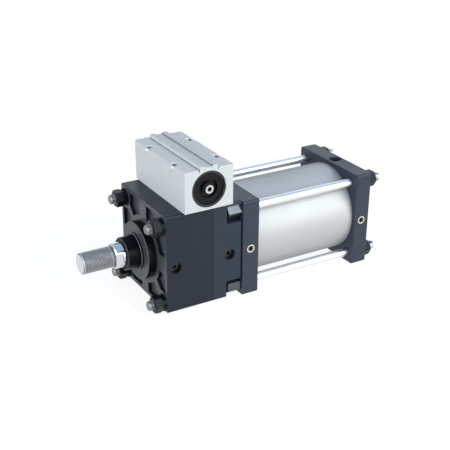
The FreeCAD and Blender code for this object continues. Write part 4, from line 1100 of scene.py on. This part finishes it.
class CYLINDER_OT_works(bpy.types.Operator):
    """Finish the piston, seals, bushes, brake arms, shoes and release pistons held inside"""

    bl_idname = "cylinder.works"
    bl_label = "Works inside"

    def execute(self, context):
        colours = context.scene.cylinder_colours
        release = turned_metal_finish("release_piston_turned", colours.alloy, CAP_AXIS)
        arm = ground_steel_finish("arm_ground", colours.arm_steel, (0.3, 0.45), (0.05, 1.4, 0.3))
        shoe = ground_steel_finish("shoe_iron", colours.shoe_iron, (0.5, 0.7), (0.6, 0.6, 0.6), 0.8)
        wear(turned_metal_finish("piston_turned", colours.alloy, ROD_AXIS), "piston")
        wear(release, "near_release_piston", "far_release_piston")
        wear(turned_metal_finish("bush_bronze", colours.bronze, ROD_AXIS), "rod_bush", "gland_bush")
        wear(plate_finish("pin_plated", colours), "front_cushion_ring", "piston_nut", "pivot_pins")
        wear(
            soft_finish("seal_rubber", colours.rubber, (0.4, 0.6)),
            "cushion_seals", "tube_gaskets", "rod_seal", "piston_seals", "near_piston_seal",
            "far_piston_seal", "cap_seals",
        )
        wear(soft_finish("wear_band", colours.wear_band, (0.4, 0.55)), "wear_ring")
        wear(arm, "near_brake_arm", "far_brake_arm")
        wear(shoe, "near_brake_shoe", "far_brake_shoe")
        return {"FINISHED"}


class CYLINDER_OT_springs(bpy.types.Operator):
    """Make the brake springs, which shorten as their release pistons slide towards the caps"""

    bl_idname = "cylinder.springs"
    bl_label = "Brake springs"

    def execute(self, context):
        sizes = context.scene.cylinder_springs
        tree = spring_tree()
        rgb = context.scene.cylinder_colours.spring_steel
        steel = ground_steel_finish("spring_wire", rgb, (0.28, 0.4), (0.9, 0.2, 0.9))
        for joint in frame["record"]["behaviour"]["joints"]:
            for row in joint.get("deforming_nodes", ()):
                node = row["node"]
                low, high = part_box(node)
                length = high.y - low.y
                values = {
                    "Seat": ((low.x + high.x) / 2, low.y, (low.z + high.z) / 2), "Length": length,
                    "Outside radius": (high.x - low.x) / 2,
                }
                piece = grown(node + "_coil", tree, steel, sizes, values)
                stand_in(piece, node, "frame")
                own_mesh(piece)
        return {"FINISHED"}


# Each lamp's place from the cylinder's middle, its width and its height, in metres.
LAMPS = {
    "key": ((1.1, -1.9, 0.95), 2.6, 1.9),
    "fill": ((-2.0, -0.3, 0.35), 1.8, 1.6),
    "rim": ((1.1, 1.9, 1.0), 2.0, 1.0),
}
FLOOR_MIDDLE, FLOOR_RADIUS, LIT_RADIUS = 0.15, 9, 1.2
FLOOR_SIDES = 96
SKY_CURVE = 1.8
FARTHEST_SEEN = 50


def lamp(name, sizes):
    """A lamp turned to the cylinder's middle."""
    place, width, height = LAMPS[name]
    middle = (CAD_LOW + CAD_HIGH) / 2
    data = bpy.data.lights.new(name, "AREA")
    data.energy = getattr(sizes, name)
    data.color = getattr(sizes, name + "_tint")
    data.shape = "RECTANGLE"
    data.size, data.size_y = width, height
    item = new_object(name, data)
    item.location = middle + Vector(place)
    item.rotation_euler = (middle - item.location).to_track_quat("-Z", "Y").to_euler()


def background_rays(sheet):
    """1 for the rays that show the background, straight to the camera or by way of metal."""
    path = sheet.add("ShaderNodeLightPath")
    seen = sheet.wire(path, "Is Camera Ray")
    for ray in ("Is Glossy Ray", "Is Transmission Ray"):
        seen = sheet.math("MAXIMUM", seen, sheet.wire(path, ray))
    return seen


def studio_world(sizes):
    """A pale horizon under a bluer ceiling, dimmer as light than as background."""
    world = bpy.data.worlds.new("studio")
    sheet = clear_sheet(world)
    _, _, up = sheet.split(sheet.wire(sheet.add("ShaderNodeTexCoord"), "Generated"))
    height = sheet.math("POWER", sheet.clamped(up), SKY_CURVE)
    sky = sheet.mix(height, sizes.horizon, sizes.ceiling)
    strength = sizes.sky + background_rays(sheet) * (1.0 - sizes.sky)
    light = sheet.add("ShaderNodeBackground", {"Color": sky, "Strength": strength})
    sheet.add("ShaderNodeOutputWorld", {"Surface": sheet.wire(light)})
    return world


def floor_finish(sizes):
    """Matt floor with its shadows, lifted to white as background, most of all far away."""
    material = bpy.data.materials.new("studio_floor")
    sheet = clear_sheet(material)
    x, y, _ = sheet.split(sheet.wire(sheet.add("ShaderNodeTexCoord"), "Object"))
    away = sheet.clamped(sheet.length(x, y) - LIT_RADIUS)
    glow = sizes.floor_glow + away * (sizes.far_glow - sizes.floor_glow)
    values = {
        "Base Color": (*sizes.floor, 1.0), "Roughness": 0.9, "Specular IOR Level": 0.0,
        "Emission Color": (1, 1, 1, 1), "Emission Strength": background_rays(sheet) * glow,
    }
    shader = sheet.add("ShaderNodeBsdfPrincipled", values)
    sheet.add("ShaderNodeOutputMaterial", {"Surface": sheet.wire(shader)})
    return material


def studio_floor(sizes):
    work = bmesh.new()
    bmesh.ops.create_circle(work, cap_ends=True, radius=FLOOR_RADIUS, segments=FLOOR_SIDES)
    bmesh.ops.translate(work, verts=work.verts, vec=(FLOOR_MIDDLE, 0, CAD_LOW.z))
    mesh = bpy.data.meshes.new("studio_floor")
    work.to_mesh(mesh)
    work.free()
    mesh.materials.append(floor_finish(sizes))
    new_object("studio_floor", mesh)


def view_camera(sizes):
    data = bpy.data.cameras.new("view")
    data.lens = sizes.lens
    data.clip_end = FARTHEST_SEEN
    camera = new_object("view", data)
    aim = Matrix.Rotation(sizes.azimuth, 4, "Z") @ Matrix.Rotation(TURN / 4 - sizes.elevation, 4, "X")
    roll = Matrix.Rotation(sizes.roll, 4, "Z")
    camera.matrix_world = Matrix.Translation(sizes.place) @ aim @ roll
    return camera


class CYLINDER_OT_stage(bpy.types.Operator):
    """Set up the floor, the studio, the lamps and the camera"""

    bl_idname = "cylinder.stage"
    bl_label = "Stage"

    def execute(self, context):
        scene = context.scene
        sizes = scene.cylinder_stage
        studio_floor(sizes)
        scene.world = studio_world(sizes)
        for name in LAMPS:
            lamp(name, sizes)
        scene.camera = view_camera(sizes)
        scene.view_settings.view_transform = "Standard"
        return {"FINISHED"}


OPERATORS = (
    CYLINDER_OT_castings,
    CYLINDER_OT_tube,
    CYLINDER_OT_release_block,
    CYLINDER_OT_block_bolts,
    CYLINDER_OT_hexagons,
    CYLINDER_OT_bars,
    CYLINDER_OT_rod,
    CYLINDER_OT_side_fittings,
    CYLINDER_OT_works,
    CYLINDER_OT_springs,
    CYLINDER_OT_stage,
)


class CYLINDER_PT_panel(bpy.types.Panel):
    """Lists the sizes, colours and steps"""

    bl_label = "Locking cylinder"
    bl_space_type = "VIEW_3D"
    bl_region_type = "UI"
    bl_category = "Cylinder"

    def draw(self, context):
        layout = self.layout
        for operator in OPERATORS:
            layout.operator(operator.bl_idname)
        for name, group in GROUPS.items():
            box = layout.box()
            box.label(text=group.__doc__)
            for prop in group.__annotations__:
                box.prop(getattr(context.scene, name), prop)


def register():
    for item in (*GROUPS.values(), *OPERATORS, CYLINDER_PT_panel):
        bpy.utils.register_class(item)
    for name, group in GROUPS.items():
        setattr(bpy.types.Scene, name, bpy.props.PointerProperty(type=group))


def unregister():
    for name in GROUPS:
        delattr(bpy.types.Scene, name)
    for item in (CYLINDER_PT_panel, *reversed(OPERATORS), *GROUPS.values()):
        bpy.utils.unregister_class(item)


def main():
    register()
    for operator in OPERATORS:
        family, name = operator.bl_idname.split(".")
        getattr(getattr(bpy.ops, family), name)()


if __name__ == "__main__":
    main()
